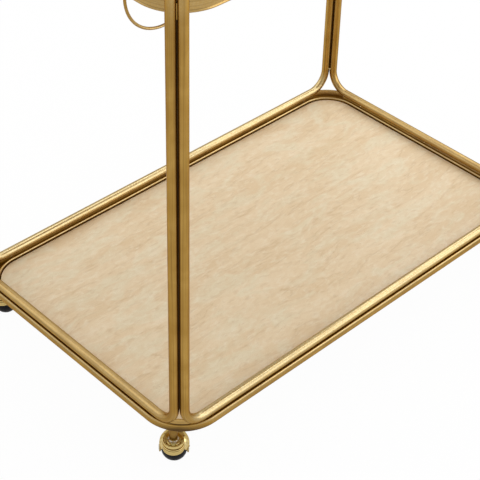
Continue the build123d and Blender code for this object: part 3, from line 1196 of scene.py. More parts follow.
@dataclass(kw_only=True)
class Tray(Plan):
    """One tray: a metal edge, a ledge inside it and a stone panel let in.

    The lower edge is square tube and the upper one a deep flat band.
    """

    label: str
    edge_foot: float
    edge_height: float
    edge_node: str
    edge_name: str
    beaded: bool = False
    corner_steps: int = 28
    outer_from: float = 0.4
    edge_thick: float = 2.2 * MM
    arris: float = 0.45 * MM
    bead_height: float = 3.0 * MM
    bead_depth: float = 0.8 * MM
    panel_thick: float = 6.0 * MM
    panel_sink: float = 2.5 * MM
    panel_gap: float = 1.2 * MM
    panel_arris: float = 0.7 * MM
    ledge_gap: float = 0.0
    ledge_width: float = 14 * MM
    ledge_thick: float = 1.5 * MM
    ledge_arris: float = 0.3 * MM
    # Painted light and shade on the edge: values above 0 pale it, values below 0 darken it.
    top_rub: float = 1.0
    arris_rub: float = 1.0
    face_rub: float = 0.0
    corner_rub: float = 0.0
    foot_rub: float = 0.0
    foot_reach: float = 8 * MM

    @property
    def panel_foot(self) -> float:
        """The height of the panel's underside, where the ledge carries it."""
        return self.edge_foot + self.edge_height - self.panel_sink - self.panel_thick

    def round_tray(self, offset: float, profile: Grid) -> Grid:
        """A profile carried round the tray.

        Args:
            offset: How far outside the loops' planes the path runs.
            profile: Points (m, 2), outwards and upwards.

        Returns:
            The closed grid.
        """
        run, out = rounded_run(
            self.length + 2 * offset,
            self.width + 2 * offset,
            self.corner_radius + offset,
            arc=self.corner_steps,
        )
        return carried(stand(run, Plane.LEVEL), stand(out, Plane.LEVEL), UP, profile)

    def edge(self) -> Skin:
        """The metal edge, with a bead along its foot if it has one.

        The painted light on its top passes from one value in the middle to another
        at the arrises, where it is a painted highlight. Its outer face has painted
        light of its own, to which painted shade is added round the corners. Towards
        its foot more painted shade is added, a third of it on the straights and the
        whole at the corners.

        Returns:
            The edge's skin.
        """
        profile = bar_profile(self.edge_thick, self.edge_height, self.arris, steps=8, straight=10)
        if self.beaded:
            profile = beaded_profile(
                self.edge_thick, self.edge_height, self.arris, self.bead_height, self.bead_depth
            )
        grid = self.round_tray(0.0, profile + np.array([0.0, self.edge_foot]))
        _, out = rounded_run(self.length, self.width, self.corner_radius, arc=self.corner_steps)
        bent = bend_share(out)[:, None]
        across = profile[:, 0] / self.edge_thick
        outer = across > self.outer_from
        top = profile[:, 1] > self.edge_height - 1.01 * self.arris
        at_arris = np.clip(4 * np.abs(across) - 1, 0, 1)
        # Painted shade towards the foot, painted light on the top with a painted highlight at the
        # arrises, a painted face, and painted shade round the corners.
        low = np.clip(1 - profile[:, 1] / self.foot_reach, 0, 1) * (across > 0)
        head = np.where(top, self.top_rub + (self.arris_rub - self.top_rub) * at_arris, 0.0)
        face = np.where(~top & outer, self.face_rub, 0.0)
        corner = np.where(outer, self.corner_rub, 0.0)
        foot = (1 + 2 * bent) / 3 * low * self.foot_rub
        rub = head + face + bent * corner + foot
        skin = Skin(self.edge_name, math.radians(50))
        return skin.add(grid, wrap_rows=True, wrap_columns=True, rub=rub)

    def ledge(self) -> Skin:
        """The flat frame that the panel lies on.

        Returns:
            The ledge's skin.
        """
        foot = self.panel_foot - self.ledge_thick
        profile = bar_profile(self.ledge_width, self.ledge_thick, self.ledge_arris, foot)
        inset = (self.edge_thick + self.ledge_width) / 2 + self.ledge_gap
        grid = self.round_tray(-inset, profile)
        return Skin(f"{self.label}_ledge_frame").add(grid, wrap_rows=True, wrap_columns=True)

    def panel(self) -> Skin:
        """The stone panel: rings of a rounded rectangle that shrink to the middle.

        The side runs up from the foot, the arris is a quarter circle, and each
        further ring on the two faces is the outline times a falling share.

        Returns:
            The panel's skin.
        """
        inset = self.edge_thick / 2 + self.panel_gap
        run, out = rounded_run(
            self.length - 2 * inset, self.width - 2 * inset, self.corner_radius - inset, arc=20
        )
        radius = self.panel_arris
        quarter = np.linspace(0.0, QUARTER_TURN, 6)
        drawn_in = radius * (1 - np.cos(quarter))
        short = radius * (1 - np.sin(quarter))
        shares = np.linspace(1.0, 0.0, 9)[1:]
        face = run - out * radius
        rings = [(face * share, 0.0) for share in shares[::-1]]
        rings += [(run - out * depth, up) for depth, up in zip(drawn_in[::-1], short[::-1])]
        rings += [(run - out * depth, self.panel_thick - up) for depth, up in zip(drawn_in, short)]
        rings += [(face * share, self.panel_thick) for share in shares]
        grid = np.stack([stand(flat, Plane.LEVEL) + UP * (self.panel_foot + up) for flat, up in rings])
        return Skin(f"{self.label}_stone", math.radians(60)).add(grid, wrap_columns=True)

    def build(self, shop: Shop) -> None:
        """Makes and dresses the edge, the ledge and the panel.

        Args:
            shop: Where the finishes are kept.
        """
        shop.fit(self.edge(), Finish.BRUSHED_BRASS, "frame", [self.edge_node])
        shop.fit(self.ledge(), Finish.BRUSHED_BRASS, "frame", [f"{self.label}_ledge"])
        shop.fit(self.panel(), Finish.STONE_PANEL, "frame", [f"{self.label}_panel"])


def lower_tray() -> Tray:
    """The lower tray, in its square tube."""
    return Tray(
        label="lower",
        edge_foot=76.8 * MM,
        edge_height=12.7 * MM,
        edge_node="lower_edge_bar",
        edge_name="lower_edge",
        edge_thick=12.7 * MM,
        arris=2.0 * MM,
        panel_sink=4.0 * MM,
        panel_gap=1.6 * MM,
        ledge_gap=0.2 * MM,
        # Painted shade on the top, a painted highlight on the arris, a paler painted face, and painted
        # shade round the corners and towards the foot.
        top_rub=-0.5,
        arris_rub=0.9,
        face_rub=0.3,
        corner_rub=-1.0,
        foot_rub=-1.1,
    )


def upper_tray() -> Tray:
    """The upper tray, in its deep beaded band."""
    return Tray(
        label="upper",
        edge_foot=730.5 * MM,
        edge_height=30 * MM,
        edge_node="upper_apron",
        edge_name="upper_edge",
        beaded=True,
        # A paler painted face.
        face_rub=0.3,
    )


@dataclass(frozen=True)
class BandEnds:
    """What differs between the corner bands at the front and at the back.

    The foot of a band may rise between two angles from its middle. The low
    strip of its face is darkened with painted shade as a dark seam, and the face
    above has painted light of its own.
    """

    reach: float
    seam: float
    face_rub: float
    rise: Optional[tuple[float, float]] = None


@dataclass(kw_only=True)
class LowerJoints(Plan):
    """The bands and tabs that hold the lower tray's square tube up to the bottom tubes."""

    edge_top: float = 89.5 * MM
    band_foot: float = 89.4 * MM
    band_top: float = 99.5 * MM
    band_offset: float = 3.9 * MM
    band_arris: float = 0.5 * MM
    seam_blur: float = 0.8 * MM
    rise_share: float = 0.75
    front: BandEnds = BandEnds(30 * MM, 2.2 * MM, 0.2, (math.radians(11), math.radians(16)))
    back: BandEnds = BandEnds(38 * MM, 1.0 * MM, 0.7)
    thick: float = 2.2 * MM
    tube_under: float = 92.75 * MM
    tab_width: float = 3.2 * MM
    tab_sink: float = 0.6 * MM
    tab_arris: float = 0.5 * MM
    fillet: float = 0.8 * MM
    fillet_fall: float = 0.7
    long_stations: tuple[float, ...] = (-325 * MM, 0.0, 325 * MM)
    short_stations: tuple[float, ...] = (-150 * MM, 0.0, 150 * MM)

    def band(self, corner: Corner) -> Skin:
        """The curved band over one corner: a flat bar carried along part of a circle.

        Between the two angles of its rise, its foot goes up by the smooth step
        3t^2 - 2t^3, until a quarter of its height is left under the tubes. The
        back bands have a level foot.

        Args:
            corner: The corner that it stands over.

        Returns:
            The band's skin.
        """
        sx, sy = corner.value
        ends = self.front if sy < 0 else self.back
        radius = self.corner_radius + self.band_offset
        end = math.acos((self.corner_radius - ends.reach) / radius)
        angle = np.linspace(QUARTER_TURN - end, end, 61)
        ray = np.stack([sx * np.cos(angle), sy * np.sin(angle), np.zeros_like(angle)], axis=1)
        middle_x = sx * (self.length / 2 - self.corner_radius)
        middle_y = sy * (self.width / 2 - self.corner_radius)
        path = np.array([middle_x, middle_y, 0.0]) + radius * ray
        high = self.band_top - self.band_foot
        profile = bar_profile(self.thick, high, self.band_arris, self.band_foot, straight=10)
        grid = carried(path, ray, UP, profile)
        if ends.rise:
            start, stop = ends.rise
            t = np.clip((np.abs(angle - QUARTER_TURN / 2) - start) / (stop - start), 0, 1)
            kept = (1 - self.rise_share * (3 * t**2 - 2 * t**3))[:, None]
            grid[:, :, 2] = self.band_top - (self.band_top - grid[:, :, 2]) * kept
        # Painted shade along the low strip of the face, and painted light on the face above.
        low = np.clip((self.band_foot + ends.seam - profile[:, 1]) / self.seam_blur, 0, 1)
        rub = np.broadcast_to(ends.face_rub - (1 + ends.face_rub) * low, grid.shape[:2])
        return Skin(f"corner_web_{corner.label}").add(grid, wrap_columns=True, rub=rub, lids=True)

    def tab(self) -> Grid:
        """A small upright bar whose two ends flare into weld fillets.

        Its section is a rounded rectangle that widens towards each end by the
        fillet times the exponential of minus the distance from that end.

        Returns:
            The tab's grid.
        """
        height = self.tube_under - self.edge_top + self.tab_sink
        rise = height * (1 - np.cos(np.linspace(0.0, math.pi, 15))) / 2
        nearest = np.minimum(rise, height - rise)
        flare = self.fillet * np.exp(-nearest / (self.fillet * self.fillet_fall))
        section, out = rounded_run(self.tab_width, self.thick, self.tab_arris, arc=4, straight=3)
        widened = out * np.array([1.0, 0.0])
        flat = section[None, :, :] + widened[None, :, :] * flare[:, None, None]
        up = np.broadcast_to(rise[:, None] + self.edge_top, flat.shape[:2])
        return np.concatenate([flat, up[:, :, None]], axis=2)

    def tabs(self) -> Skin:
        """Every upright tab round the lower tray.

        Returns:
            The tabs' skin.
        """
        skin = Skin("edge_tabs")
        grid = self.tab()
        # The tabs are paled with a painted highlight.
        rub = np.ones(grid.shape[:2])
        for side in (-1, 1):
            stations = [((x, side * self.width / 2, 0.0), 0.0) for x in self.long_stations]
            stations += [((side * self.length / 2, y, 0.0), QUARTER_TURN) for y in self.short_stations]
            for at, heading in stations:
                skin.add(placed(grid, at, heading), wrap_columns=True, rub=rub, lids=True)
        return skin

    def build(self, shop: Shop) -> None:
        """Makes and dresses the bands and tabs.

        Args:
            shop: Where the finishes are kept.
        """
        for corner in Corner:
            node = f"corner_band_{corner.label}"
            shop.fit(self.band(corner), Finish.BRUSHED_BRASS, "frame", [node])
        shop.fit(self.tabs(), Finish.BRUSHED_BRASS, "frame", ["tray_weld_tabs"])


@dataclass
class BottleRack:
    """Two rods under the upper tray, each with a row of wire hoops hanging from it."""

    rod_length: float = 771.8 * MM
    rod_radius: float = 3.0 * MM
    rod_height: float = 744.1 * MM
    rod_weld: float = 1.1 * MM
    hoop_radius: float = 59.9 * MM
    wire_radius: float = 2.0 * MM
    hoop_height: float = 680 * MM
    hoop_count: int = 5
    pitch: float = 138.4 * MM
    row_offset: float = 80 * MM
    hoop_swell: float = 0.45
    swell_reach: float = 3 * MM
    foot_rub: float = 0.5

    def rod(self, row: str, side: int) -> Skin:
        """A straight rod: a circle carried along X, with a weld collar at each end.

        Args:
            row: The row's name.
            side: -1 for the front row, 1 for the back.

        Returns:
            The rod's skin.
        """
        half = self.rod_length / 2
        stations = half * np.sin(np.linspace(-QUARTER_TURN, QUARTER_TURN, 61))
        flare = self.rod_weld * np.exp(-(half - np.abs(stations)) / self.rod_weld)
        ring = circle_profile(1.0, 24)
        flat = ring[None, :, :] * (self.rod_radius + flare)[:, None, None]
        x = np.broadcast_to(stations[:, None], flat.shape[:2])
        y, z = flat[:, :, 0] + side * self.row_offset, flat[:, :, 1] + self.rod_height
        grid = np.stack([x, y, z], axis=2)
        return Skin(f"rack_bar_{row}").add(grid, wrap_columns=True, lids=True)

    def hoop(self, row: str, side: int, number: int) -> Skin:
        """A wire ring whose wire widens at the top, where it is welded to the rod.

        The wire's size along Y grows by a share of the exponential of minus
        the square of the distance from the top over its reach.

        Args:
            row: The row's name.
            side: -1 for the front row, 1 for the back.
            number: The hoop's number in its row, from the left.

        Returns:
            The hoop's skin.
        """
        turn = round_angles(96)
        ray = np.stack([np.sin(turn), np.zeros_like(turn), np.cos(turn)], axis=1)
        x = (number - (self.hoop_count + 1) / 2) * self.pitch
        middle = np.array([x, side * self.row_offset, self.hoop_height])
        from_top = np.minimum(turn, 2 * math.pi - turn) * self.hoop_radius
        swell = 1 + self.hoop_swell * np.exp(-((from_top / self.swell_reach) ** 2))
        wire = circle_profile(self.wire_radius, 18)
        sideways = np.array([0.0, 1.0, 0.0])
        grid = (
            (middle + self.hoop_radius * ray)[:, None, :]
            + ray[:, None, :] * wire[None, :, 0, None]
            + sideways * (wire[None, :, 1, None] * swell[:, None, None])
        )
        rub = np.broadcast_to(np.clip(-ray[:, 2], 0, 1)[:, None] * self.foot_rub, grid.shape[:2])
        return Skin(f"ring_{row}_{number}").add(grid, wrap_rows=True, wrap_columns=True, rub=rub)

    def build(self, shop: Shop) -> None:
        """Makes and dresses the rods and hoops.

        Args:
            shop: Where the finishes are kept.
        """
        for row, side in (("front", -1), ("back", 1)):
            shop.fit(self.rod(row, side), Finish.BRUSHED_BRASS, "frame", [f"rack_rod_{row}"])
            for number in range(1, self.hoop_count + 1):
                hoop = self.hoop(row, side, number)
                shop.fit(hoop, Finish.BRUSHED_BRASS, "frame", [f"hoop_{row}_{number}"])


@dataclass
class Caster:
    """One hooded ball caster, from its post and nut down to the ball.

    Its pieces are worked out about the swivel axis, with the wheel trailing
    along +X, and are then turned to its heading.
    """

    corner: Corner
    trail: float = 14 * MM
    wheel_radius: float = 18.5 * MM
    wheel_half: float = 17.2 * MM
    parting_depth: float = 0.25 * MM
    parting_width: float = 0.35 * MM
    recess_depth: float = 0.3 * MM
    recess_width: float = 0.6 * MM
    recess_slope: float = 0.3 * MM
    rolled_half: float = 9 * MM
    bushing_radius: float = 5 * MM
    axle_radius: float = 2.5 * MM
    axle_reach: float = 20.9 * MM
    axle_head: float = 4 * MM
    head_height: float = 1.4 * MM
    post_radius: float = 5.9 * MM
    post_base: float = 52.5 * MM
    post_top: float = 76.8 * MM
    post_fillet: float = 1.3 * MM
    fillet_fall: float = 1.2 * MM
    post_chamfer: float = 0.5 * MM
    pin_radius: float = 4 * MM
    pin_play: float = 0.05 * MM
    nut_base: float = 46.5 * MM
    nut_flats: float = 14.2 * MM
    nut_levels: tuple[float, ...] = (0.0, 0.15, 0.4, 0.7, 0.85, 0.93, 1.0)
    nut_foot_wider: float = 0.2 * MM
    nut_under: float = 0.05 * MM
    cup_base: float = 44.2 * MM
    cup_top: float = 46.2 * MM
    cup_lip: float = 49.5 * MM
    cup_radius: float = 15 * MM
    cup_hollow: float = 9.0 * MM
    cup_wall: float = 1.3 * MM
    cup_chamfer: float = 0.9 * MM
    cup_round: float = 0.7 * MM
    cup_shade: float = 0.8 * MM
    collar_radius: float = 15.5 * MM
    neck_radius: float = 13.6 * MM
    collar_base: float = 38.5 * MM
    collar_top: float = 42.9 * MM
    groove_height: float = 40.6 * MM
    groove_half: float = 0.8 * MM
    groove_depth: float = 0.9 * MM
    groove_shade: float = 0.7 * MM
    collar_round: float = 0.55 * MM
    skirt_base: float = 33.2 * MM
    skirt_wall: float = 2.0 * MM
    hood_radius: float = 21.4 * MM
    hood_wall: float = 1.6 * MM
    hood_thinnest: float = 0.35 * MM
    hood_past_cup: float = 1.2 * MM
    hood_under_cup: float = 0.15 * MM
    hood_back: float = 4.0 * MM
    hood_rise: float = 5.0 * MM
    hood_drop: float = 2.0 * MM
    hood_front: float = 6.0 * MM
    hood_lean: float = math.radians(50)
    rake: float = math.radians(26)
    cut_power: int = 14
    shell_steps: int = 25
    rim_steps: int = 5
    worn_outside: int = 9
    worn_inside: int = 4
    ear_radius: float = 6.5 * MM
    ear_inner: float = 18.6 * MM
    ear_outer: float = 20.9 * MM
    ear_round: float = 0.6 * MM
    clearance: float = 0.8 * MM
    # Painted shade on the post and the ears; the hood's rim is paler.
    post_rub: float = -0.45
    ear_rub: float = -0.6
    rim_rub: float = 0.8

    def stance(self) -> tuple[Grid, float]:
        """Where the swivel axis meets the floor, and which way the wheel trails.

        Returns:
            The point on the floor, and the plan angle of the trail.
        """
        joints = {joint["name"]: joint for joint in frame["joints"]}
        pivot = joints[f"swivel_{self.corner.label}"]["pos_m"]
        wheel = joints[f"roll_{self.corner.label}"]["pos_m"]
        heading = math.atan2(wheel[1] - pivot[1], wheel[0] - pivot[0])
        return np.array([pivot[0], pivot[1], 0.0]), heading

    def set_down(self, grid: Grid) -> Grid:
        """A grid about the swivel axis, turned and moved to this corner."""
        at, heading = self.stance()
        return placed(grid, at, heading)

    def across(self, grid: Grid) -> Grid:
        """A grid turned about Z, laid so that its axis is the axle's."""
        return placed(grid, (self.trail, 0.0, self.wheel_radius), 0.0, QUARTER_TURN)

    def skinned(self, name: str, grid: Grid, rub: Optional[Grid] = None, closed: bool = True) -> Skin:
        """The skin of one turned piece, set down at this corner.

        Args:
            name: The piece's name, without its corner.
            grid: The piece about the swivel axis.
            rub: Values of rub and painted light for the grid, or for each point of its profile.
            closed: Whether the profile's last point joins its first.

        Returns:
            The skin.
        """
        values = None if rub is None else np.broadcast_to(rub, grid.shape[:2])
        skin = Skin(f"{name}_{self.corner.label}")
        return skin.add(self.set_down(grid), wrap_rows=True, wrap_columns=closed, rub=values)

    def post(self) -> Skin:
        """The short post, with a weld fillet under the tray and a chamfered foot.

        The fillet's size falls off as the exponential of minus the depth.

        Returns:
            The post's skin.
        """
        depth = np.arange(7) * MM
        fillet = self.post_radius + self.post_fillet * np.exp(-depth / self.fillet_fall)
        foot = [
            (self.post_radius, self.post_base + self.post_chamfer),
            (self.post_radius - self.post_chamfer, self.post_base),
            (self.pin_radius, self.post_base),
            (self.pin_radius, self.post_top),
        ]
        profile = np.concatenate([np.stack([fillet, self.post_top - depth], axis=1), foot])
        # The post is darkened with painted shade.
        return self.skinned("post", turned(profile, 48), np.array(self.post_rub))

    def nut(self) -> Grid:
        """A hexagon nut whose corners are turned off to a cone at both ends.

        The outline's radius is half the flats over the cosine of the angle
        from the flat's middle, held below the two cones' radius, which grows
        by twice the distance from each end.

        Returns:
            The nut's grid about the swivel axis, closed both ways.
        """
        turn = round_angles(96)
        off = (turn + math.pi / 6) % (math.pi / 3) - math.pi / 6
        half = self.nut_flats / 2
        high = self.post_base - self.nut_base
        level = np.array((0.0, *self.nut_levels, 1.0)) * high
        cone = np.minimum(half + 2 * (high - level), half + 2 * level + self.nut_foot_wider)
        radius = np.minimum((half / np.cos(off))[:, None], cone[None, :]) - self.nut_under
        radius[:, [0, -1]] = self.pin_radius
        x, y = radius * np.cos(turn)[:, None], radius * np.sin(turn)[:, None]
        return np.stack([x, y, np.broadcast_to(level + self.nut_base, x.shape)], axis=2)

    def cup(self) -> Skin:
        """The dished cup round the nut, darkened with painted shade along its foot.

        Returns:
            The cup's skin.
        """
        bore = self.pin_radius + self.pin_play
        radius, lip = self.cup_radius, self.cup_lip
        corners = [
            (bore, self.cup_base),
            (self.neck_radius, self.cup_base),
            (radius, self.cup_base + self.cup_chamfer),
            (radius, lip),
            (radius - self.cup_wall, lip),
            (self.cup_hollow, self.cup_top),
            (bore, self.cup_top),
        ]
        profile = eased(corners, self.cup_round)
        low = np.clip(1 - (profile[:, 1] - self.cup_base) / self.cup_shade, 0, 1)
        dark = -low * (profile[:, 0] > self.neck_radius * 0.9)
        return self.skinned("dish", turned(profile, 72), dark)

    def ball_reach(self, angle: Grid, radius: float) -> Grid:
        """How high the cleared space round the ball reaches.

        Args:
            angle: Plan angles about the swivel axis.
            radius: Their distance from that axis.

        Returns:
            The height of the cleared sphere's upper side, or zero beside it.
        """
        x, y = radius * np.cos(angle), radius * np.sin(angle)
        reach = self.wheel_radius + self.clearance
        left = reach**2 - (x - self.trail) ** 2 - y**2
        return np.where(left > 0, self.wheel_radius + np.sqrt(np.clip(left, 0, None)), 0.0)

    def collar(self) -> Grid:
        """The grooved collar and its skirt, whose foot rises over the ball.

        A profile is turned about the swivel axis. Below the collar's base each
        point is drawn up by the share that keeps the skirt above the ball.

        Returns:
            The collar's grid about the swivel axis, closed both ways.
        """
        radius, bore = self.collar_radius, self.pin_radius + self.pin_play
        inner = radius - self.skirt_wall
        corners = [
            (bore, self.collar_base),
            (inner, self.collar_base),
            (inner, self.skirt_base),
            (radius, self.skirt_base),
            (radius, self.groove_height - self.groove_half),
            (radius - self.groove_depth, self.groove_height),
            (radius, self.groove_height + self.groove_half),
            (radius, self.collar_top),
            (self.neck_radius, self.collar_top),
            (self.neck_radius, self.cup_base),
            (bore, self.cup_base),
        ]
        grid = turned(eased(corners, self.collar_round), 96)
        angle, rise = np.arctan2(grid[:, :, 1], grid[:, :, 0]), grid[:, :, 2]
        over_ball = np.maximum(self.ball_reach(angle, radius), self.ball_reach(angle, inner))
        foot = np.maximum(self.skirt_base, over_ball + 0.05 * MM)
        share = np.clip((self.collar_base - foot) / (self.collar_base - self.skirt_base), 0.02, 1)
        lifted = self.collar_base - (self.collar_base - rise) * share
        grid[:, :, 2] = np.where(rise < self.collar_base, lifted, rise)
        return grid

    def hood_limit(self, centre: Grid, axle: Grid, pole: Grid, sideways: Grid) -> Grid:
        """The angle from the pole at which the hood ends, for each turn about it.

        A ray ends at the nearer of two cuts: the level one under the axle and
        the raked one in front. The angle to a cut is the arctangent of the
        ray's two parts along the cut's direction, plus the arccosine of the
        cut's distance over their length. A high power blends the two.

        Args:
            centre: The middle of the hood's sphere.
            axle: The middle of the ball.
            pole: The unit direction of the hood's pole.
            sideways: Unit directions (n, 3) square to the pole.

        Returns:
            The n angles.
        """
        raked = np.array([math.cos(self.rake), 0.0, math.sin(self.rake)])
        cuts = ((UP, axle[2] - self.hood_drop), (raked, raked @ axle - self.hood_front))
        limits = []
        for direction, base in cuts:
            share = (base - direction @ centre) / self.hood_radius
            along_pole, along_ray = direction @ pole, sideways @ direction
            size = np.hypot(along_pole, along_ray)
            limits.append(np.arctan2(along_ray, along_pole) + np.arccos(share / size))
        level, front = limits
        return (level**-self.cut_power + front**-self.cut_power) ** (-1 / self.cut_power)

    def hood(self) -> tuple[Grid, Grid]:
        """The part-sphere hood, as a closed shell.

        The outer skin is a sphere; the inner one is a smaller sphere, opened
        where the ball needs it; a half circle joins them at the rim. What
        comes near the cup is held below it. The rim is paler and smoother, with
        the rings next to it on both skins.

        Returns:
            The hood's grid about the swivel axis and its values of rub and painted light.
        """
        axle = np.array([self.trail, 0.0, self.wheel_radius])
        centre = axle + np.array([self.hood_back, 0.0, self.hood_rise])
        pole = np.array([math.cos(self.hood_lean), 0.0, math.sin(self.hood_lean)])
        first, second = np.array([pole[2], 0.0, -pole[0]]), np.array([0.0, 1.0, 0.0])
        turn = round_angles(120)
        sideways = np.cos(turn)[:, None] * first + np.sin(turn)[:, None] * second
        limit = self.hood_limit(centre, axle, pole, sideways)[:, None]

        def rays(angle: Grid) -> Grid:
            """Unit directions at angles (n, m) from the pole."""
            return np.cos(angle)[:, :, None] * pole + np.sin(angle)[:, :, None] * sideways[:, None, :]

        ray = rays(np.linspace(0.0, 1.0, self.shell_steps) * limit)
        towards = ray @ (centre - axle)
        reach = self.wheel_radius + self.clearance
        gap = (centre - axle) @ (centre - axle) - reach**2
        cleared = -towards + np.sqrt(towards**2 - gap)
        thickest, thinnest = self.hood_radius - self.hood_wall, self.hood_radius - self.hood_thinnest
        inner = np.clip(cleared, thickest, thinnest)
        outer = np.full_like(inner, self.hood_radius)
        middle, half = (outer + inner)[:, -1:] / 2, (outer - inner)[:, -1:] / 2
        bow = np.linspace(0.0, math.pi, self.rim_steps + 2)[1:-1]
        rim = (middle + half * np.cos(bow))[:, :, None] * rays(half * np.sin(bow) / middle + limit)
        shell = (outer[:, :, None] * ray, rim, (inner[:, :, None] * ray)[:, ::-1])
        grid = np.concatenate(shell, axis=1) + centre
        near = np.hypot(grid[:, :, 0], grid[:, :, 1]) < self.cup_radius + self.hood_past_cup
        held = np.minimum(grid[:, :, 2], self.cup_base - self.hood_under_cup)
        grid[:, :, 2] = np.where(near, held, grid[:, :, 2])
        rub = np.zeros(grid.shape[:2])
        rim_start, rim_stop = self.shell_steps, self.shell_steps + self.rim_steps
        rub[:, rim_start - self.worn_outside : rim_stop + self.worn_inside] = self.rim_rub
        return grid, rub

    def ears(self) -> list[Grid]:
        """The two bosses that hold the axle's ends, with rounded faces.

        Returns:
            Their two grids about the swivel axis, each closed both ways.
        """
        corners = [
            (self.axle_radius, self.ear_inner),
            (self.ear_radius, self.ear_inner),
            (self.ear_radius, self.ear_outer),
            (self.axle_radius, self.ear_outer),
        ]
        boss = turned(eased(corners, self.ear_round), 40)
        return [self.across(boss), self.across(boss * np.array([1.0, 1.0, -1.0]))]

    def casting(self) -> Skin:
        """Collar, skirt, hood and ears as one piece, darkened with painted shade at the neck, in the
        groove and on the ears.

        Returns:
            The casting's skin.
        """
        collar = self.collar()
        out, rise = np.hypot(collar[:, :, 0], collar[:, :, 1]), collar[:, :, 2]
        neck = (rise > self.collar_top + 0.05 * MM) & (out > self.neck_radius * 0.9)
        groove = (np.abs(rise - self.groove_height) < self.groove_shade) & (out > self.neck_radius)
        skin = self.skinned("hood", collar, np.where(neck | groove, -1.0, 0.0))
        hood, rub = self.hood()
        skin.add(self.set_down(hood), wrap_rows=True, rub=rub)
        for ear in self.ears():
            rub = np.full(ear.shape[:2], self.ear_rub)
            skin.add(self.set_down(ear), wrap_rows=True, wrap_columns=True, rub=rub)
        return skin

    def axle(self) -> Skin:
        """The axle, with a low domed head outside each ear.

        A dome is a quarter of an ellipse, from its tip to halfway down the head.

        Returns:
            The axle's skin.
        """
        swing = np.linspace(0.0, QUARTER_TURN, 7)
        tip = self.axle_reach + self.head_height
        dome_radius = self.axle_head * np.sin(swing)
        dome_height = -tip + self.head_height / 2 * (1 - np.cos(swing))
        shank = [(self.axle_head, -self.axle_reach), (self.axle_radius, -self.axle_reach)]
        half = np.concatenate([np.stack([dome_radius, dome_height], axis=1), shank])
        profile = np.concatenate([half, half[::-1] * np.array([1.0, -1.0])])
        return self.skinned("wheel_axle", self.across(turned(profile, 36)), closed=False)

    def ball(self) -> Skin:
        """The ball wheel: a circle turned about the axle, cut flat at each side.

        A fine groove round the middle marks where its mould parted, and a
        shallow recess surrounds the bushing.

        Returns:
            The ball's skin.
        """
        height = self.wheel_half * np.sin(np.linspace(-QUARTER_TURN, QUARTER_TURN, 61))
        groove = self.parting_depth * np.exp(-((height / self.parting_width) ** 2))
        radius = np.sqrt(self.wheel_radius**2 - height**2) - groove
        recess = self.bushing_radius + self.recess_width
        side = np.array(
            [
                (self.bushing_radius, self.wheel_half - self.recess_depth),
                (recess, self.wheel_half - self.recess_depth),
                (recess + self.recess_slope, self.wheel_half),
            ]
        )
        tread = np.stack([radius, height], axis=1)
        profile = np.concatenate([side * np.array([1.0, -1.0]), tread, side[::-1]])
        rolled = 1 - np.minimum(np.abs(profile[:, 1]) / self.rolled_half, 1)
        return self.skinned("ball", self.across(turned(profile, 96)), rolled)

    def build(self, shop: Shop) -> Grid:
        """Makes and dresses the caster.

        Args:
            shop: Where the finishes are kept.

        Returns:
            The nut's grid in place, because the four nuts share a piece.
        """
        label = self.corner.label
        shop.fit(self.post(), Finish.BRUSHED_BRASS, "frame", [f"caster_post_{label}"])
        shop.fit(self.cup(), Finish.POLISHED_BRASS, f"yoke_{label}", [f"caster_cup_{label}"])
        shop.fit(self.casting(), Finish.POLISHED_BRASS, f"yoke_{label}", [f"caster_hood_{label}"])
        shop.fit(self.axle(), Finish.ZINC, f"yoke_{label}", [f"caster_axle_{label}"])
        shop.fit(self.ball(), Finish.BLACK_BALL, f"wheel_{label}", [f"caster_ball_{label}"])
        shop.dress(f"caster_kingpin_{label}", Finish.ZINC)
        shop.dress(f"caster_bushing_{label}", Finish.BLACK_BALL)
        return self.set_down(self.nut())


# --------------------------------------------------------------------------
# Studio
# --------------------------------------------------------------------------


@dataclass(frozen=True)
class Lamp:
    """A soft square lamp: its place, its size and its power in watts."""

    name: str
    at: Triple
    size: float
    power: float

    def hang(self, aim: Triple) -> None:
        """Hangs the lamp, turned to shine at a point.

        Args:
            aim: The point.
        """
        data = bpy.data.lights.new(self.name, "AREA")
        data.shape, data.size, data.energy = "SQUARE", self.size, self.power
        lamp = linked(self.name, data)
        lamp.location = self.at
        lamp.rotation_euler = (Vector(aim) - Vector(self.at)).to_track_quat("-Z", "Y").to_euler()


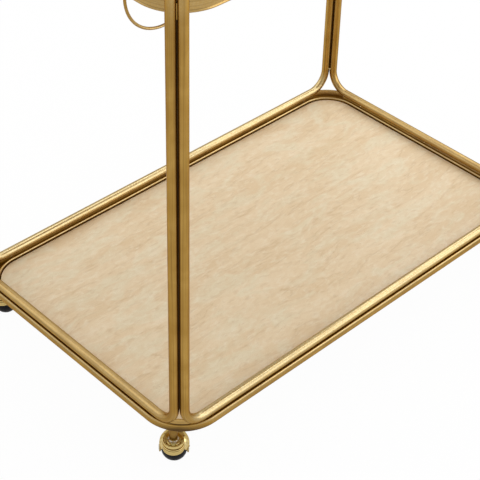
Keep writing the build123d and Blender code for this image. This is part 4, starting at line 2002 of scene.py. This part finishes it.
@dataclass
class Studio:
    """A pale floor, a white surround, soft lamps and the camera."""

    eye: Triple = (-1.27934, -1.23715, 1.52580)
    azimuth: float = 0.791597
    elevation: float = 0.654751
    roll: float = 0.026744
    lens: float = 107.719
    sensor: float = 36.0
    shift_y: float = -0.0833
    clip: tuple[float, float] = (0.05, 60.0)
    floor_reach: float = 9.0
    floor_pale: float = 0.86
    floor_dull: float = 0.84
    floor_mottle: Cloud = Cloud(2.0, scale=2.0)
    ambient: float = 0.78
    seen_glow: float = 0.97
    mirrored_glow: float = 0.55
    aim: Triple = (0.0, 0.0, 0.35)
    lamps: tuple[Lamp, ...] = (
        Lamp("key_lamp", (1.9, -2.5, 1.3), size=3.4, power=52.0),
        Lamp("top_lamp", (1.8, 0.2, 2.9), size=3.0, power=42.0),
        Lamp("back_lamp", (-1.0, 2.0, 2.4), size=3.6, power=26.0),
    )

    def camera(self) -> None:
        """Sets the camera looking along its azimuth and downwards, rolled a little."""
        ca, sa = math.cos(self.azimuth), math.sin(self.azimuth)
        ce, se = math.cos(self.elevation), math.sin(self.elevation)
        ahead = Vector((ca * ce, sa * ce, -se))
        right = Vector((sa, -ca, 0.0))
        up = right.cross(ahead)
        cr, sr = math.cos(self.roll), math.sin(self.roll)
        side = cr * right + sr * up
        top = -sr * right + cr * up
        data = bpy.data.cameras.new("studio_camera")
        data.lens, data.sensor_width, data.sensor_fit = self.lens, self.sensor, "HORIZONTAL"
        data.shift_y = self.shift_y
        data.clip_start, data.clip_end = self.clip
        camera = linked("studio_camera", data)
        turn = Matrix((side, top, -ahead)).transposed().to_4x4()
        camera.matrix_world = Matrix.Translation(self.eye) @ turn
        bpy.context.scene.camera = camera

    def surround(self) -> None:
        """A world that lights the cart softly, and shows white to the eye, gloss and glass."""
        bench = Bench(bpy.data.worlds.new("white_surround"))
        path = bench.node("LightPath").outputs
        shown = bench.sums("MAXIMUM", path["Is Camera Ray"], path["Is Glossy Ray"])
        shown = bench.sums("MAXIMUM", shown, path["Is Transmission Ray"])
        level = bench.ranged(shown, 0.0, 1.0, self.ambient, 1.0)
        light = bench.node("Background", {"Strength": level}).outputs["Background"]
        bench.node("OutputWorld", {"Surface": light})
        bpy.context.scene.world = bench.held

    def glow_share(self, bench: Bench) -> bpy.types.NodeSocket:
        """How much of the floor glows: most of it to the eye, less of it to gloss and glass.

        Args:
            bench: The floor's bench.

        Returns:
            The share, as a socket.
        """
        path = bench.node("LightPath").outputs
        mirrored = bench.sums("MAXIMUM", path["Is Glossy Ray"], path["Is Transmission Ray"])
        seen = bench.sums("MULTIPLY", path["Is Camera Ray"], self.seen_glow)
        return bench.sums("MAXIMUM", seen, bench.sums("MULTIPLY", mirrored, self.mirrored_glow))

    def floor(self) -> None:
        """The plain pale floor, which keeps the cart's shadow."""
        bench = material_bench("studio_floor")
        place = bench.node("TexCoord").outputs["Object"]
        mottle = bench.ranged(bench.cloud(place, self.floor_mottle), *CLOUD_SPAN, 0.0, 1.0)
        pale, dull = (self.floor_pale,) * 3 + (1.0,), (self.floor_dull,) * 3 + (1.0,)
        lit = bench.node("BsdfDiffuse", {"Color": bench.blended(mottle, pale, dull)}).outputs["BSDF"]
        glow = bench.node("Emission", {"Color": (1.0, 1.0, 1.0, 1.0), "Strength": 1.0}).outputs[0]
        mixed = bench.node("MixShader", {0: self.glow_share(bench), 1: lit, 2: glow}).outputs[0]
        bench.node("OutputMaterial", {"Surface": mixed})
        reach = self.floor_reach
        mesh = bpy.data.meshes.new("studio_floor")
        corners = [(-reach, -reach, 0), (reach, -reach, 0), (reach, reach, 0), (-reach, reach, 0)]
        mesh.from_pydata(corners, [], [(0, 1, 2, 3)])
        mesh.materials.append(bench.held)
        linked("studio_floor", mesh)

    def build(self) -> None:
        """Sets out the whole studio."""
        bpy.context.scene.view_settings.view_transform = "Standard"
        self.camera()
        self.surround()
        self.floor()
        for lamp in self.lamps:
            lamp.hang(self.aim)


def main() -> None:
    """Builds the cart piece by piece, then the studio."""
    logging.basicConfig(level=logging.INFO, format="%(name)s %(message)s")
    shop = Shop()
    TubeFrame().build(shop)
    lower_tray().build(shop)
    upper_tray().build(shop)
    LowerJoints().build(shop)
    BottleRack().build(shop)
    nuts = Skin("locknuts")
    for corner in Corner:
        nuts.add(Caster(corner).build(shop), wrap_rows=True, wrap_columns=True)
    shop.fit(nuts, Finish.ZINC, "frame", ["caster_nuts"])
    Studio().build()


if __name__ == "__main__":
    main()
